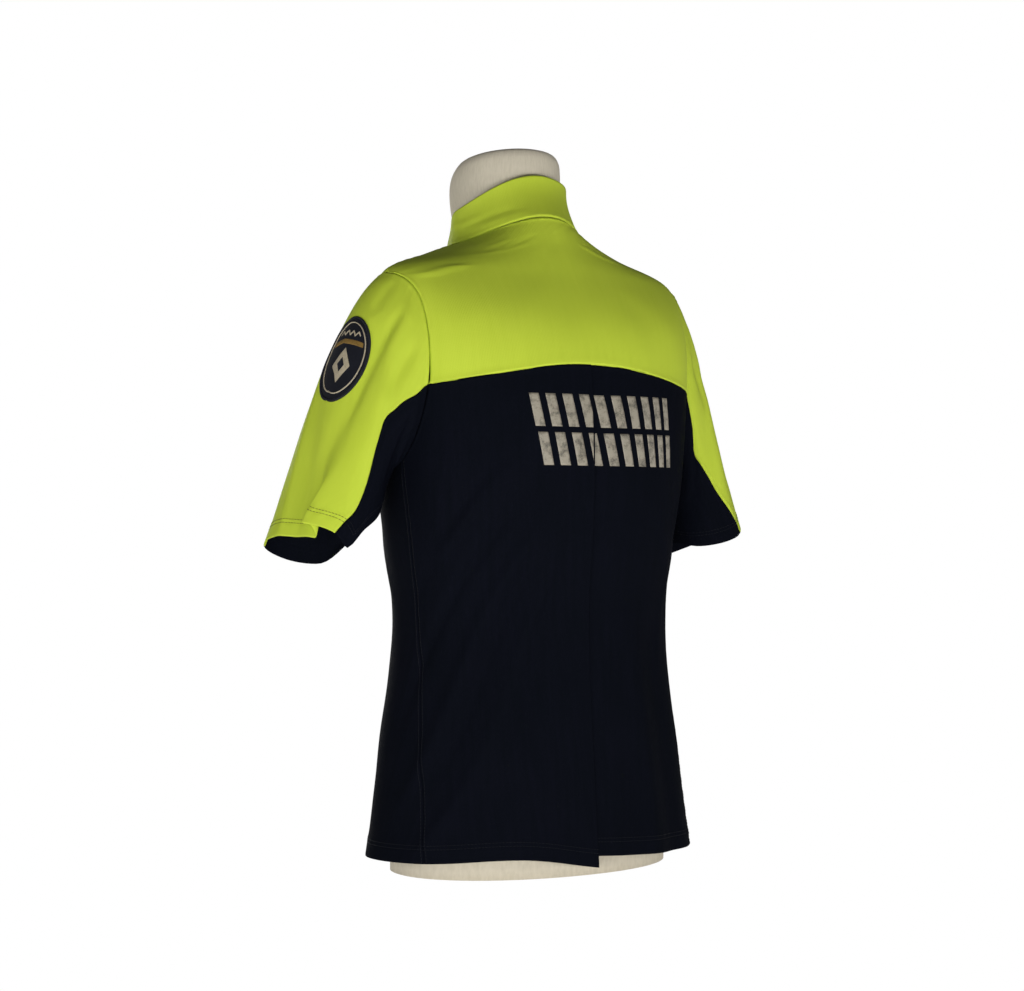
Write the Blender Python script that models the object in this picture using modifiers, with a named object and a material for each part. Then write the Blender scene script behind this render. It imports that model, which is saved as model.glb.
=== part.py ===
"""Two-colour polo shirt with a pleated back, on the limbless dress form that it rests on.

Metres, +Z up. The front faces -Y, the wearer's left is +X, and the form stands on Z = 0.
The cloth is laid out on two surfaces. The trunk is a stack of rings from the hem to the neck
seam, and a place on it is a turn (degrees from the wearer's left side towards the back) and a
level (the row of TRUNK_RINGS). Each sleeve runs from its armhole loop to its hem loop, and a
place on it is a clock angle (0 on top, 90 at the back, 180 under the arm) and a reach (0 to 1).
"""
import math

import bmesh
import bpy
from mathutils import Vector

# ---------------------------------------------------------------- driving dimensions
CLOTH = 0.0012            # thickness of the knit
SEAM_GAP = 0.0005         # space between two pieces at a seam
BENT_SEAM_GAP = 0.0009    # the same where the cloth bends sharply across the seam
LIFT = 0.0004             # space between a panel and what lies on it

# Trunk rings, from the hem to the neck seam. The height is at the side; back_rise and
# front_drop tilt the ring towards the centre back and the centre front.
TRUNK_RINGS = [
    # name        height half_width half_depth centre_y square back_rise front_drop
    ("hem",       0.016, 0.1910,    0.1330,    0.000,   2.1,   0.000,    0.000),
    ("hip",       0.115, 0.1775,    0.1245,    0.000,   2.1,   0.000,    0.000),
    ("waist",     0.265, 0.1595,    0.1120,    0.000,   2.1,   0.000,    0.000),
    ("ribs",      0.350, 0.1680,    0.1180,    0.000,   2.2,   0.000,    0.000),
    ("underarm",  0.430, 0.1770,    0.1220,    0.000,   2.3,   0.000,    0.000),
    ("chest",     0.510, 0.1800,    0.1180,    0.000,   2.5,   0.000,    0.000),
    ("blade",     0.580, 0.1830,    0.1050,    -0.002,  2.6,   0.002,    0.002),
    ("shoulder",  0.637, 0.1800,    0.0720,    -0.006,  2.2,   0.008,    0.006),
    ("trapeze",   0.662, 0.1230,    0.0610,    -0.016,  2.1,   0.018,    0.016),
    ("neck",      0.679, 0.0715,    0.0700,    -0.0375, 2.0,   0.026,    0.026),
]
HEM, HIP, WAIST, RIBS, UNDERARM, CHEST, BLADE, SHOULDER, TRAPEZE, NECK = range(10)

# The side seam leans to the back towards the hem.
SIDE_SEAM = [
    # level  turn
    (HEM,    20.5),
    (HIP,    16.5),
    (WAIST,  9.0),
    (RIBS,   8.5),
]
SIDE_SEAM_CLOCK = 158.0   # where the side seam meets the armhole
ARMHOLE_TURN_BACK = 20.5  # widest turn of the armhole on the back
ARMHOLE_TURN_FRONT = 24.0

# The seam between the lime yoke and the navy panel bows up between the armholes.
YOKE_CLOCK = 105.5        # where the yoke seam meets the armhole, front and back
YOKE_LEVEL_MIDDLE = 5.42
YOKE_BOW = 2.5            # how flat the seam stays before it drops to the armholes

# Centre-back pleat, a one-sided fold whose edge lies on the centre line.
PLEAT_AT_YOKE = 0.009
PLEAT_AT_HEM = 0.026
LAYER_PITCH = 0.0017      # from the middle of one layer to the middle of the next
PLEAT_SMOOTHING = 0.045   # width over which the under layer comes back up to the surface
PLEAT_RETURN = (0.3, 0.65)  # shares of that width at which it has a column

# The hem line of the wearer's left and right half: the left one hangs lower at the fold edge.
HEM_LEFT = [
    # turn   rise
    (-90.0,  0.000),
    (-30.0,  0.000),
    (20.0,   0.004),
    (50.0,   0.009),
    (90.0,   -0.004),
]
HEM_RIGHT = [
    # turn   rise
    (90.0,   0.008),
    (135.0,  0.002),
    (180.0,  -0.002),
    (270.0,  0.000),
]

# Sleeves: the hem loop of the wearer's left one; the right one mirrors it.
SLEEVE_CENTRE = Vector((0.2450, -0.0270, 0.348))
SLEEVE_TWIST = 15.0       # the loop's long axis, its front end swung outwards
SLEEVE_HALF_WIDTH = 0.069
SLEEVE_HALF_DEPTH = 0.048
SLEEVE_OUT_RISE = 0.30    # the loop's plane rises outwards and towards the back
SLEEVE_BACK_RISE = 0.25
SLEEVE_SQUARE = 2.2
SLEEVE_AXIS = Vector((0.33, 0.03, -0.94))
HITCH_CLOCK = 138.0       # the back of the left hem is hitched up here
HITCH_WIDTH = 42.0
HITCH_RISE = 0.040

# How the sleeve leaves the armhole, and how long it keeps that direction.
SLEEVE_START = [
    # clock   out   back   up     start_reach  end_reach
    (0.0,     0.84, -0.12, -0.52, 0.045,       0.150),
    (45.0,    0.70, -0.12, -0.66, 0.040,       0.125),
    (90.0,    0.62, -0.05, -0.76, 0.045,       0.075),
    (140.0,   0.80, 0.10,  -0.40, 0.030,       0.040),
    (180.0,   0.95, 0.00,  -0.10, 0.022,       0.035),
    (220.0,   0.80, -0.35, -0.40, 0.032,       0.040),
    (270.0,   0.66, -0.40, -0.62, 0.055,       0.080),
    (315.0,   0.78, -0.36, -0.55, 0.055,       0.125),
    (360.0,   0.84, -0.12, -0.52, 0.045,       0.150),
]

# The colour seams of each sleeve, from the yoke seam down to the hem. The right sleeve hangs
# turned outwards, so its seam lies further back.
COLOUR_SEAM = {
    "left": [
        # reach  back_clock  front_clock
        (0.00,   105.5,      254.5),
        (0.25,   96.0,       266.0),
        (0.45,   80.0,       276.0),
        (0.60,   70.0,       283.0),
        (0.82,   67.0,       293.0),
        (1.00,   51.0,       302.0),
    ],
    "right": [
        # reach  back_clock  front_clock
        (0.00,   105.5,      254.5),
        (0.25,   110.0,      260.0),
        (0.45,   106.0,      266.0),
        (0.60,   96.0,       272.0),
        (0.82,   73.0,       284.0),
        (1.00,   46.0,       298.0),
    ],
}

# Folds: soft ridges (+) and troughs (-) between two places on the surface.
TRUNK_FOLDS = [
    # turn_a level_a turn_b level_b depth   width (turn degrees)
    (60.0,   3.95,   28.0,  2.30,   0.0022, 5.0),
    (72.0,   3.60,   36.0,  1.70,   -0.0024, 6.0),
    (80.0,   3.90,   48.0,  1.20,   0.0018, 5.0),
    (120.0,  2.30,   124.0, 0.00,   0.0050, 7.0),
    (136.0,  2.30,   140.0, 0.00,   -0.0040, 7.0),
    (52.0,   1.60,   50.0,  0.00,   0.0030, 8.0),
    (-60.0,  2.30,   -55.0, 0.00,   0.0045, 9.0),
    (-118.0, 2.30,   -124.0, 0.00,  0.0045, 9.0),
    (-90.0,  1.90,   -88.0, 0.00,   -0.0030, 10.0),
]
SLEEVE_FOLDS = [
    # clock_a reach_a clock_b reach_b depth  width (clock degrees)
    (36.0,   0.22,   30.0,   0.72,   -0.0035, 11.0),
    (-20.0,  0.50,   8.0,    1.00,   -0.0030, 10.0),
    (62.0,   0.30,   58.0,   0.90,   0.0030,  12.0),
    (-55.0,  0.20,   -50.0,  0.85,   -0.0030, 14.0),
]
FOLD_FADE_IN = 0.4        # share of a fold's length over which it rises
FOLD_OVERRUN = 0.35       # share of its length by which it runs on, fading out

# The pinch where the left sleeve's hem buckles; the right sleeve has a slight one.
PINCH_CLOCK = -4.0
PINCH_WIDTH = 13.0
PINCH_DEPTH = 0.011
PINCH_REACH = 0.74
PINCH_SHARE = {"left": 1.0, "right": 0.25}

# Collar: a stand that follows the neck and flares at its open front ends.
COLLAR_HEIGHT = 0.047
COLLAR_FRONT_TURN = -58.0
COLLAR_TOP_TURN = -52.0   # its front ends slant back towards the top
COLLAR_TOP_HALF = 0.0668  # half width of the ring that its top edge follows
COLLAR_BACK_CENTRE_Y = -0.0570    # that ring's middle for the back of the collar
COLLAR_FRONT_CENTRE_Y = -0.0420   # and for its ends, because the neck leans forward
COLLAR_FLARE = 0.003      # the front ends stand away from the neck
COLLAR_FLARE_START = 0.6  # share of the way from the back to an end where that begins
COLLAR_FRONT_SHARE = 0.52 # height of the front ends over the height at the back

# Placket: the open slit of the front, with a band along each side.
SLIT_LEVEL = 6.35         # the slit's foot
SLIT_CLOSED_TURN = 0.23   # degrees from the centre line to its edge while it is closed
SLIT_PAST_COLLAR = 4.0    # degrees by which its top opens wider than the collar
SLIT_CURVE = 1.3
BAND_FIRST_ROW = 2        # the row of the front yoke's grid where the bands start
BUTTON_RADIUS = 0.0052
BUTTON_HEIGHT = 0.0022
BUTTON_TAPER = 0.92       # rim of its outer face over its radius
BUTTON_SIDES = 20
BUTTON_ROWS = (1, 3)      # rows of the band's grid

# Patch on the left upper sleeve, an oval between these rows and columns of the sleeve's grid.
PATCH_ROWS = (3.6, 7.9)
PATCH_COLUMNS = (3.7, 9.9)
PATCH_ROUNDING = 0.42
PATCH_STEPS = 12

# Dress form: how far it keeps inside the middle of the cloth, ring by ring.
FORM_INSETS = [
    # level       inset
    (HEM,         0.0280),
    (HIP,         0.0190),
    (WAIST,       0.0160),
    (RIBS,        0.0130),
    (UNDERARM,    0.0100),
    (CHEST,       0.0075),
    (BLADE,       0.0058),
    (SHOULDER,    0.0042),
    (TRAPEZE,     0.0026),
    (NECK,        0.0048),
]
FORM_NECK = [
    # height half_width half_depth centre_y tilt
    (0.700,  0.0630,    0.0620,    -0.0405,  0.012),
    (0.709,  0.0622,    0.0610,    -0.0470,  0.012),
    (0.721,  0.0622,    0.0610,    -0.0530,  0.012),
    (0.737,  0.0622,    0.0612,    -0.0570,  0.009),
    (0.755,  0.0615,    0.0615,    -0.0570,  0.010),
    (0.768,  0.0585,    0.0570,    -0.0540,  0.010),
    (0.776,  0.0500,    0.0480,    -0.0520,  0.008),
]
FORM_SIDES = 36

# Grid sizes.
ROWS_SIDE = 15            # along the side seam
ROWS_ARM_BACK = 4         # along the armhole, side seam to back yoke seam
ROWS_ARM_FRONT = 8        # along the armhole, side seam to front yoke seam
ROWS_YOKE_ARM = 7         # along the armhole, yoke seam to shoulder
ROWS_SHOULDER = 5         # along the shoulder seam
COLUMNS_BACK = 9          # from a side seam to the pleat
COLUMNS_FRONT = 14        # across the front panel
COLUMNS_FRONT_YOKE = 7
COLUMNS_COLLAR = 30
ROWS_COLLAR = 4
ROWS_SLEEVE = 12
FOLD_STEPS = 3            # steps round a fold's edge

LIME = (0.48, 0.60, 0.06)
NAVY = (0.006, 0.007, 0.014)
FORM_COVER = (0.52, 0.46, 0.39)
BUTTON_LIME = (0.42, 0.52, 0.08)
PATCH_NAVY = (0.010, 0.012, 0.030)
KNIT_ROUGHNESS = 0.75
COVER_ROUGHNESS = 0.80
BUTTON_ROUGHNESS = 0.35


# ---------------------------------------------------------------- tables and curves
def smooth_step(value):
    value = min(max(value, 0.0), 1.0)
    return value * value * (3.0 - 2.0 * value)


def mix(start, end, share):
    return start + (end - start) * share


def read_row(table, key):
    """The table's columns after the first, at a key in its first column, as a smooth curve."""
    count = len(table)
    key = min(max(key, table[0][0]), table[-1][0])
    index = 0
    while index < count - 2 and key > table[index + 1][0]:
        index += 1
    low, high = table[index], table[index + 1]
    before = table[max(index - 1, 0)]
    after = table[min(index + 2, count - 1)]
    span = high[0] - low[0]
    share = (key - low[0]) / span
    values = []
    for column in range(1, len(low)):
        slope_low = (high[column] - before[column]) / (high[0] - before[0]) * span
        slope_high = (after[column] - low[column]) / (after[0] - low[0]) * span
        step = high[column] - low[column]
        if step * (low[column] - before[column]) <= 0.0 and index > 0:
            slope_low = 0.0
        if step * (after[column] - high[column]) <= 0.0 and index < count - 2:
            slope_high = 0.0
        square, cube = share ** 2, share ** 3
        values.append((2 * cube - 3 * square + 1) * low[column]
                      + (cube - 2 * square + share) * slope_low
                      + (3 * square - 2 * cube) * high[column]
                      + (cube - square) * slope_high)
    return values


RING_TABLE = [(index,) + row[1:] for index, row in enumerate(TRUNK_RINGS)]


def ring_radius(cosine, sine, half_width, half_depth, square):
    """Distance from a superellipse's middle to its edge, in the given direction."""
    wide = abs(cosine / half_width) ** square
    deep = abs(sine / half_depth) ** square
    return (wide + deep) ** (-1.0 / square)


def fold_height(folds, first, second, wrap):
    """Height of the soft folds at a place given by its two surface coordinates."""
    height = 0.0
    for first_a, second_a, first_b, second_b, depth, width in folds:
        share = (second - second_a) / (second_b - second_a)
        middle = mix(first_a, first_b, share)
        away = (first - middle + wrap / 2) % wrap - wrap / 2
        fade = smooth_step(share / FOLD_FADE_IN)
        fade *= smooth_step((1.0 + FOLD_OVERRUN - share) / FOLD_OVERRUN)
        height += depth * fade * math.exp(-(away / width) ** 2)
    return height


# ---------------------------------------------------------------- trunk surface
def plain_trunk(turn, level):
    height, half_width, half_depth, centre_y, square, rise, drop = read_row(RING_TABLE, level)
    cosine = math.cos(math.radians(turn))
    sine = math.sin(math.radians(turn))
    radius = ring_radius(cosine, sine, half_width, half_depth, square)
    tilt = rise if sine > 0.0 else -drop
    return Vector((radius * cosine, centre_y + radius * sine, height + tilt * sine * sine))


def trunk_normal(turn, level):
    """Outward direction of the trunk surface."""
    along = plain_trunk(turn + 1.0, level) - plain_trunk(turn - 1.0, level)
    up = plain_trunk(turn, min(level + 0.05, NECK)) - plain_trunk(turn, max(level - 0.05, HEM))
    return along.cross(up).normalized()


def trunk_point(turn, level, out=0.0):
    """A point of the trunk cloth's middle surface, moved out by a distance."""
    out += fold_height(TRUNK_FOLDS, turn, level, 360.0)
    return plain_trunk(turn, level) + trunk_normal(turn, level) * out


# ---------------------------------------------------------------- armhole and seams
def armhole_place(clock):
    """Turn and level of the left armhole loop at a clock angle."""
    angle = math.radians(clock)
    middle = (UNDERARM + SHOULDER) / 2
    half = (SHOULDER - UNDERARM) / 2
    widest = ARMHOLE_TURN_BACK if math.sin(angle) > 0.0 else ARMHOLE_TURN_FRONT
    return widest * math.sin(angle), middle + half * math.cos(angle)


def yoke_level(turn):
    """Level of the yoke seam, highest at the centre back and the centre front."""
    edge_turn, edge_level = armhole_place(YOKE_CLOCK)
    share = abs(math.cos(math.radians(turn))) / math.cos(math.radians(edge_turn))
    return mix(YOKE_LEVEL_MIDDLE, edge_level, share ** YOKE_BOW)


def clocks(start, end, steps):
    return [mix(start, end, step / steps) for step in range(steps + 1)]


def side_seam_places():
    """Turn and level up the left side seam, from the hem to the armhole."""
    top_turn, top_level = armhole_place(SIDE_SEAM_CLOCK)
    table = SIDE_SEAM + [(top_level, top_turn)]
    levels = clocks(HEM, top_level, ROWS_SIDE)
    return [(read_row(table, level)[0], level) for level in levels]


def edge_places(end_clock, steps):
    """The side seam, then the armhole up to the yoke seam."""
    upper = [armhole_place(clock) for clock in clocks(SIDE_SEAM_CLOCK, end_clock, steps)]
    return side_seam_places() + upper[1:]


# ---------------------------------------------------------------- sleeve surface
def sleeve_hem_point(clock, hitch):
    angle = math.radians(clock)
    twist = math.radians(SLEEVE_TWIST)
    outwards = Vector((math.cos(twist), math.sin(twist), 0.0))
    backwards = Vector((-math.sin(twist), math.cos(twist), 0.0))
    radius = ring_radius(math.cos(angle), math.sin(angle), 1.0, 1.0, SLEEVE_SQUARE)
    offset = outwards * (SLEEVE_HALF_DEPTH * radius * math.cos(angle))
    offset += backwards * (SLEEVE_HALF_WIDTH * radius * math.sin(angle))
    offset.z = SLEEVE_OUT_RISE * offset.x + SLEEVE_BACK_RISE * offset.y
    offset.z += hitch * math.exp(-((clock - HITCH_CLOCK) / HITCH_WIDTH) ** 2)
    return SLEEVE_CENTRE + offset


def plain_sleeve(clock, reach, hitch=0.0):
    """A point of the left sleeve: a cubic curve from the armhole loop to the hem loop."""
    clock = clock % 360.0
    out, back, up, start_reach, end_reach = read_row(SLEEVE_START, clock)
    direction = Vector((out, back, up)).normalized()
    step_off = SEAM_GAP + CLOTH * 0.5 * math.sin(math.radians(clock) / 2) ** 2
    start = trunk_point(*armhole_place(clock)) + direction * step_off
    end = sleeve_hem_point(clock, hitch)
    first = start + direction * start_reach
    second = end - SLEEVE_AXIS.normalized() * end_reach
    rest = 1.0 - reach
    return (start * rest ** 3 + first * (3 * rest ** 2 * reach)
            + second * (3 * rest * reach ** 2) + end * reach ** 3)


def sleeve_normal(clock, reach, hitch):
    """Outward direction of the sleeve's surface."""
    round_it = plain_sleeve(clock + 2.0, reach, hitch) - plain_sleeve(clock - 2.0, reach, hitch)
    down = (plain_sleeve(clock, min(reach + 0.03, 1.0), hitch)
            - plain_sleeve(clock, max(reach - 0.03, 0.0), hitch))
    return down.cross(round_it).normalized()


def sleeve_point(clock, reach, out=0.0, pinch=1.0):
    """A point of the left sleeve's middle surface, moved out by a distance."""
    out += fold_height(SLEEVE_FOLDS, clock, reach, 360.0) * smooth_step(reach * 6.0)
    away = (clock - PINCH_CLOCK + 180.0) % 360.0 - 180.0
    depth = PINCH_DEPTH * pinch * smooth_step((reach - PINCH_REACH) / (1.0 - PINCH_REACH))
    out -= depth * math.exp(-(away / PINCH_WIDTH) ** 2)
    hitch = HITCH_RISE * pinch
    return plain_sleeve(clock, reach, hitch) + sleeve_normal(clock, reach, hitch) * out


def mirrored(point):
    return Vector((-point.x, point.y, point.z))


# ---------------------------------------------------------------- building in Blender
def clear_scene():
    for thing in list(bpy.data.objects):
        bpy.data.objects.remove(thing, do_unlink=True)


def make_material(name, colour, roughness):
    material = bpy.data.materials.new(name)
    material.use_nodes = True
    shader = material.node_tree.nodes["Principled BSDF"]
    shader.inputs["Base Color"].default_value = (*colour, 1.0)
    shader.inputs["Roughness"].default_value = roughness
    shader.inputs["Metallic"].default_value = 0.0
    material.diffuse_color = (*colour, 1.0)
    return material


def add_object(name, mesh, collection, colour, roughness):
    thing = bpy.data.objects.new(name, mesh)
    collection.objects.link(thing)
    mesh.materials.append(make_material(name + "_material", colour, roughness))
    for polygon in mesh.polygons:
        polygon.use_smooth = True
    return thing


def drawn_in(edge, inner, distance):
    return edge + (inner - edge).normalized() * distance


def open_seams(points, side_gap=SEAM_GAP):
    """Draw each edge of a grid of points half a seam gap in towards the next row or column."""
    for row in points:
        row[0] = drawn_in(row[0], row[1], side_gap / 2)
        row[-1] = drawn_in(row[-1], row[-2], side_gap / 2)
    for column in range(len(points[0])):
        points[0][column] = drawn_in(points[0][column], points[1][column], SEAM_GAP / 2)
        points[-1][column] = drawn_in(points[-1][column], points[-2][column], SEAM_GAP / 2)


def laid_on(points, row, column, out):
    """A point over a panel, between the points of its own grid, moved out by a distance."""
    low_row = min(int(row), len(points) - 2)
    low_column = min(int(column), len(points[0]) - 2)
    up, across = row - low_row, column - low_column
    first = points[low_row][low_column]
    right = points[low_row][low_column + 1]
    above = points[low_row + 1][low_column]
    far = points[low_row + 1][low_column + 1]
    spot = mix(mix(first, right, across), mix(above, far, across), up)
    corners = []
    for near_row in (low_row, low_row + 1):
        for near_column in (low_column, low_column + 1):
            corners.append(grid_normal(points, near_row, near_column))
    normal = mix(mix(corners[0], corners[1], across), mix(corners[2], corners[3], across), up)
    return spot + normal.normalized() * out


def grid_normal(points, row, column):
    """Direction across the sheet at one point of its grid."""
    last_row, last_column = len(points) - 1, len(points[0]) - 1
    along = points[row][min(column + 1, last_column)] - points[row][max(column - 1, 0)]
    up = points[min(row + 1, last_row)][column] - points[max(row - 1, 0)][column]
    return along.cross(up).normalized()


def cloth_panel(name, points, collection, colour, flip=False):
    """A wall of cloth about a grid of points (rows of columns) that is its middle surface."""
    rows = len(points) - 1
    columns = len(points[0]) - 1
    sheet = bmesh.new()
    bmesh.ops.create_grid(sheet, x_segments=columns, y_segments=rows, size=0.5)
    for vertex in sheet.verts:
        column = round((vertex.co.x + 0.5) * columns)
        row = round((vertex.co.y + 0.5) * rows)
        vertex.co = points[row][column]
    if flip:
        bmesh.ops.reverse_faces(sheet, faces=sheet.faces)
    mesh = bpy.data.meshes.new(name)
    sheet.to_mesh(mesh)
    sheet.free()
    panel = add_object(name, mesh, collection, colour, KNIT_ROUGHNESS)
    wall = panel.modifiers.new("Thickness", "SOLIDIFY")
    wall.thickness = CLOTH
    wall.offset = 0.0
    return panel


# ---------------------------------------------------------------- back panel with its pleat
def pleat_stations(level):
    """Columns of the pleat: distance left of the fold edge, and height over the surface."""
    share = smooth_step(1.0 - level / YOKE_LEVEL_MIDDLE)
    depth = mix(PLEAT_AT_YOKE, PLEAT_AT_HEM, share)
    radius = LAYER_PITCH / 2
    stations = [(depth * 0.5, 0.0)]
    for step in range(FOLD_STEPS + 1):
        angle = math.pi * step / FOLD_STEPS
        stations.append((-radius * math.sin(angle), -radius * (1.0 - math.cos(angle))))
    stations.append((depth * 0.5, -LAYER_PITCH))
    for step in range(FOLD_STEPS + 1):
        angle = math.pi * step / FOLD_STEPS
        stations.append((depth + radius * math.sin(angle),
                         -LAYER_PITCH - radius * (1.0 - math.cos(angle))))
    stations.append((depth * 0.5, -2.0 * LAYER_PITCH))
    stations.append((-LAYER_PITCH, -2.0 * LAYER_PITCH))
    for share_out in PLEAT_RETURN:
        sunk = 1.0 - smooth_step(share_out)
        stations.append((-PLEAT_SMOOTHING * share_out, -2.0 * LAYER_PITCH * sunk))
    return depth, stations


def turn_at(distance, level):
    """Turn of a place at a distance left of the centre back."""
    half_depth = read_row(RING_TABLE, level)[2]
    return 90.0 - math.degrees(math.atan2(distance, half_depth))


def back_columns(edge_turn, level):
    """Turn, height and side (+1 left, 0 in the fold, -1 right) of each column of the back."""
    depth, stations = pleat_stations(level)
    left_end = turn_at(depth + LAYER_PITCH, level)
    right_end = turn_at(-PLEAT_SMOOTHING, level)
    columns = []
    for step in range(COLUMNS_BACK + 1):
        columns.append((mix(edge_turn, left_end, step / COLUMNS_BACK), 0.0, 1.0))
    fold_count = len(stations)
    for index, (distance, height) in enumerate(stations):
        side = 1.0 - 2.0 * smooth_step((index - 2) / (fold_count - 5))
        columns.append((turn_at(distance, level), height, side))
    for step in range(COLUMNS_BACK + 1):
        columns.append((mix(right_end, 180.0 - edge_turn, step / COLUMNS_BACK), 0.0, -1.0))
    return columns


def level_across(turn, edge_turn, edge_level, middle_level):
    """Level of a row between its edge and the middle of the back or front."""
    share = abs(math.cos(math.radians(turn))) / math.cos(math.radians(edge_turn))
    return mix(middle_level, edge_level, min(share, 1.0) ** YOKE_BOW)


def hem_shift(turn, side, row_share):
    """How far the hem line lies above its ring, fading out upwards."""
    left = read_row(HEM_LEFT, turn)[0]
    right = read_row(HEM_RIGHT, turn)[0]
    return mix(right, left, (side + 1.0) / 2) * (1.0 - row_share) ** 2


def back_panel_points():
    places = edge_places(YOKE_CLOCK, ROWS_ARM_BACK)
    last = len(places) - 1
    points = []
    for row, (edge_turn, edge_level) in enumerate(places):
        share = row / last
        middle_level = YOKE_LEVEL_MIDDLE * share
        line = []
        for turn, height, side in back_columns(edge_turn, middle_level):
            level = level_across(turn, edge_turn, edge_level, middle_level)
            point = trunk_point(turn, level, height)
            point.z += hem_shift(turn, side, share)
            line.append(point)
        points.append(line)
    open_seams(points)
    return points


def back_yoke_points():
    """From the yoke seam up to the shoulder seams and the neck.

    Its columns continue those of the back panel, without the ones inside the pleat.
    """
    seam_turn = armhole_place(YOKE_CLOCK)[0]
    outer_columns = [turn for turn, height, side in back_columns(seam_turn, YOKE_LEVEL_MIDDLE)
                     if height > -LAYER_PITCH / 2 or side == -1.0]
    outer_columns = sorted(set(outer_columns))
    first, last = outer_columns[0], outer_columns[-1]
    places = yoke_edge_places(1.0)
    points = []
    for row, (edge_turn, edge_level) in enumerate(places):
        share_up = row / (len(places) - 1)
        line = []
        for turn in outer_columns:
            across = (turn - first) / (last - first)
            here = mix(edge_turn, 180.0 - edge_turn, across)
            middle = mix(yoke_level(90.0), NECK, share_up)
            rim = min(across, 1.0 - across) * 2.0
            level = mix(edge_level, middle, 1.0 - (1.0 - rim) ** 2)
            if row == 0:
                level = yoke_level(here)
            line.append(trunk_point(here, level))
        points.append(line)
    open_seams(points, BENT_SEAM_GAP)
    return points


def yoke_edge_places(side):
    """Armhole from the yoke seam up to the shoulder, then the shoulder seam to the neck."""
    arm = [armhole_place(side * clock) for clock in clocks(YOKE_CLOCK, 0.0, ROWS_YOKE_ARM)]
    seam = [(0.0, level) for level in clocks(SHOULDER, NECK, ROWS_SHOULDER)]
    return arm + seam[1:]


# ---------------------------------------------------------------- front
def front_panel_points():
    places = edge_places(360.0 - YOKE_CLOCK, ROWS_ARM_FRONT)
    last = len(places) - 1
    points = []
    for row, (edge_turn, edge_level) in enumerate(places):
        middle_level = YOKE_LEVEL_MIDDLE * row / last
        line = []
        for step in range(COLUMNS_FRONT + 1):
            turn = mix(-180.0 - edge_turn, edge_turn, step / COLUMNS_FRONT)
            bend = abs(2.0 * step / COLUMNS_FRONT - 1.0)
            level = mix(middle_level, edge_level, bend ** 2)
            if row == last:
                level = yoke_level(turn)
            point = trunk_point(turn, level)
            if turn > -90.0:
                point.z += hem_shift(turn, 1.0, row / last)
            else:
                point.z += hem_shift(turn + 360.0, -1.0, row / last)
            line.append(point)
        points.append(line)
    open_seams(points)
    return points


def slit_turn(level):
    """Turn of the slit's left edge: closed at its foot, and open at the neck."""
    share = min(max((level - SLIT_LEVEL) / (NECK - SLIT_LEVEL), 0.0), 1.0)
    closed = -90.0 + SLIT_CLOSED_TURN
    return mix(closed, COLLAR_FRONT_TURN - SLIT_PAST_COLLAR, share ** SLIT_CURVE)


def front_yoke_points():
    """The left front yoke: armhole and shoulder seam on one side, centre front on the other."""
    places = yoke_edge_places(-1.0)
    points = []
    for row, (edge_turn, edge_level) in enumerate(places):
        share_up = row / (len(places) - 1)
        middle = mix(yoke_level(-90.0), NECK, share_up)
        line = []
        for step in range(COLUMNS_FRONT_YOKE + 1):
            across = step / COLUMNS_FRONT_YOKE
            level = mix(middle, edge_level, across ** 2)
            turn = mix(slit_turn(level), edge_turn, across)
            if row == 0:
                turn = mix(-90.0, edge_turn, across)
                level = yoke_level(turn)
            line.append(trunk_point(turn, level))
        points.append(line)
    open_seams(points, BENT_SEAM_GAP)
    return points


# ---------------------------------------------------------------- sleeves
def sleeve_upper_points(side):
    """Over the top, from the front colour seam to the back one."""
    pinch = PINCH_SHARE[side]
    points = []
    for row in range(ROWS_SLEEVE + 1):
        reach = row / ROWS_SLEEVE
        back_clock, front_clock = read_row(COLOUR_SEAM[side], reach)
        front = clocks(front_clock - 360.0, 0.0, ROWS_YOKE_ARM)
        back = clocks(0.0, back_clock, ROWS_YOKE_ARM)
        points.append([sleeve_point(clock, reach, 0.0, pinch) for clock in front + back[1:]])
    open_seams(points, BENT_SEAM_GAP)
    return points


def sleeve_under_points(side):
    """Under the arm, from the back colour seam to the front one."""
    pinch = PINCH_SHARE[side]
    points = []
    for row in range(ROWS_SLEEVE + 1):
        reach = row / ROWS_SLEEVE
        back_clock, front_clock = read_row(COLOUR_SEAM[side], reach)
        back = clocks(back_clock, SIDE_SEAM_CLOCK, ROWS_ARM_BACK)
        front = clocks(SIDE_SEAM_CLOCK, front_clock, ROWS_ARM_FRONT)
        points.append([sleeve_point(clock, reach, 0.0, pinch) for clock in back + front[1:]])
    open_seams(points, BENT_SEAM_GAP)
    return points


def patch_points(sleeve):
    """An oval laid on the left upper sleeve, from places on the sleeve's own grid."""
    points = []
    for row in range(PATCH_STEPS + 1):
        line = []
        for column in range(PATCH_STEPS + 1):
            side = 2.0 * column / PATCH_STEPS - 1.0
            up = 2.0 * row / PATCH_STEPS - 1.0
            oval_side = side * math.sqrt(1.0 - PATCH_ROUNDING * up * up)
            oval_up = up * math.sqrt(1.0 - PATCH_ROUNDING * side * side)
            place_row = mix(PATCH_ROWS[0], PATCH_ROWS[1], (oval_up + 1.0) / 2)
            place_column = mix(PATCH_COLUMNS[0], PATCH_COLUMNS[1], (oval_side + 1.0) / 2)
            line.append(laid_on(sleeve, place_row, place_column, -(CLOTH + 2 * LIFT)))
        points.append(line)
    return points


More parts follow.
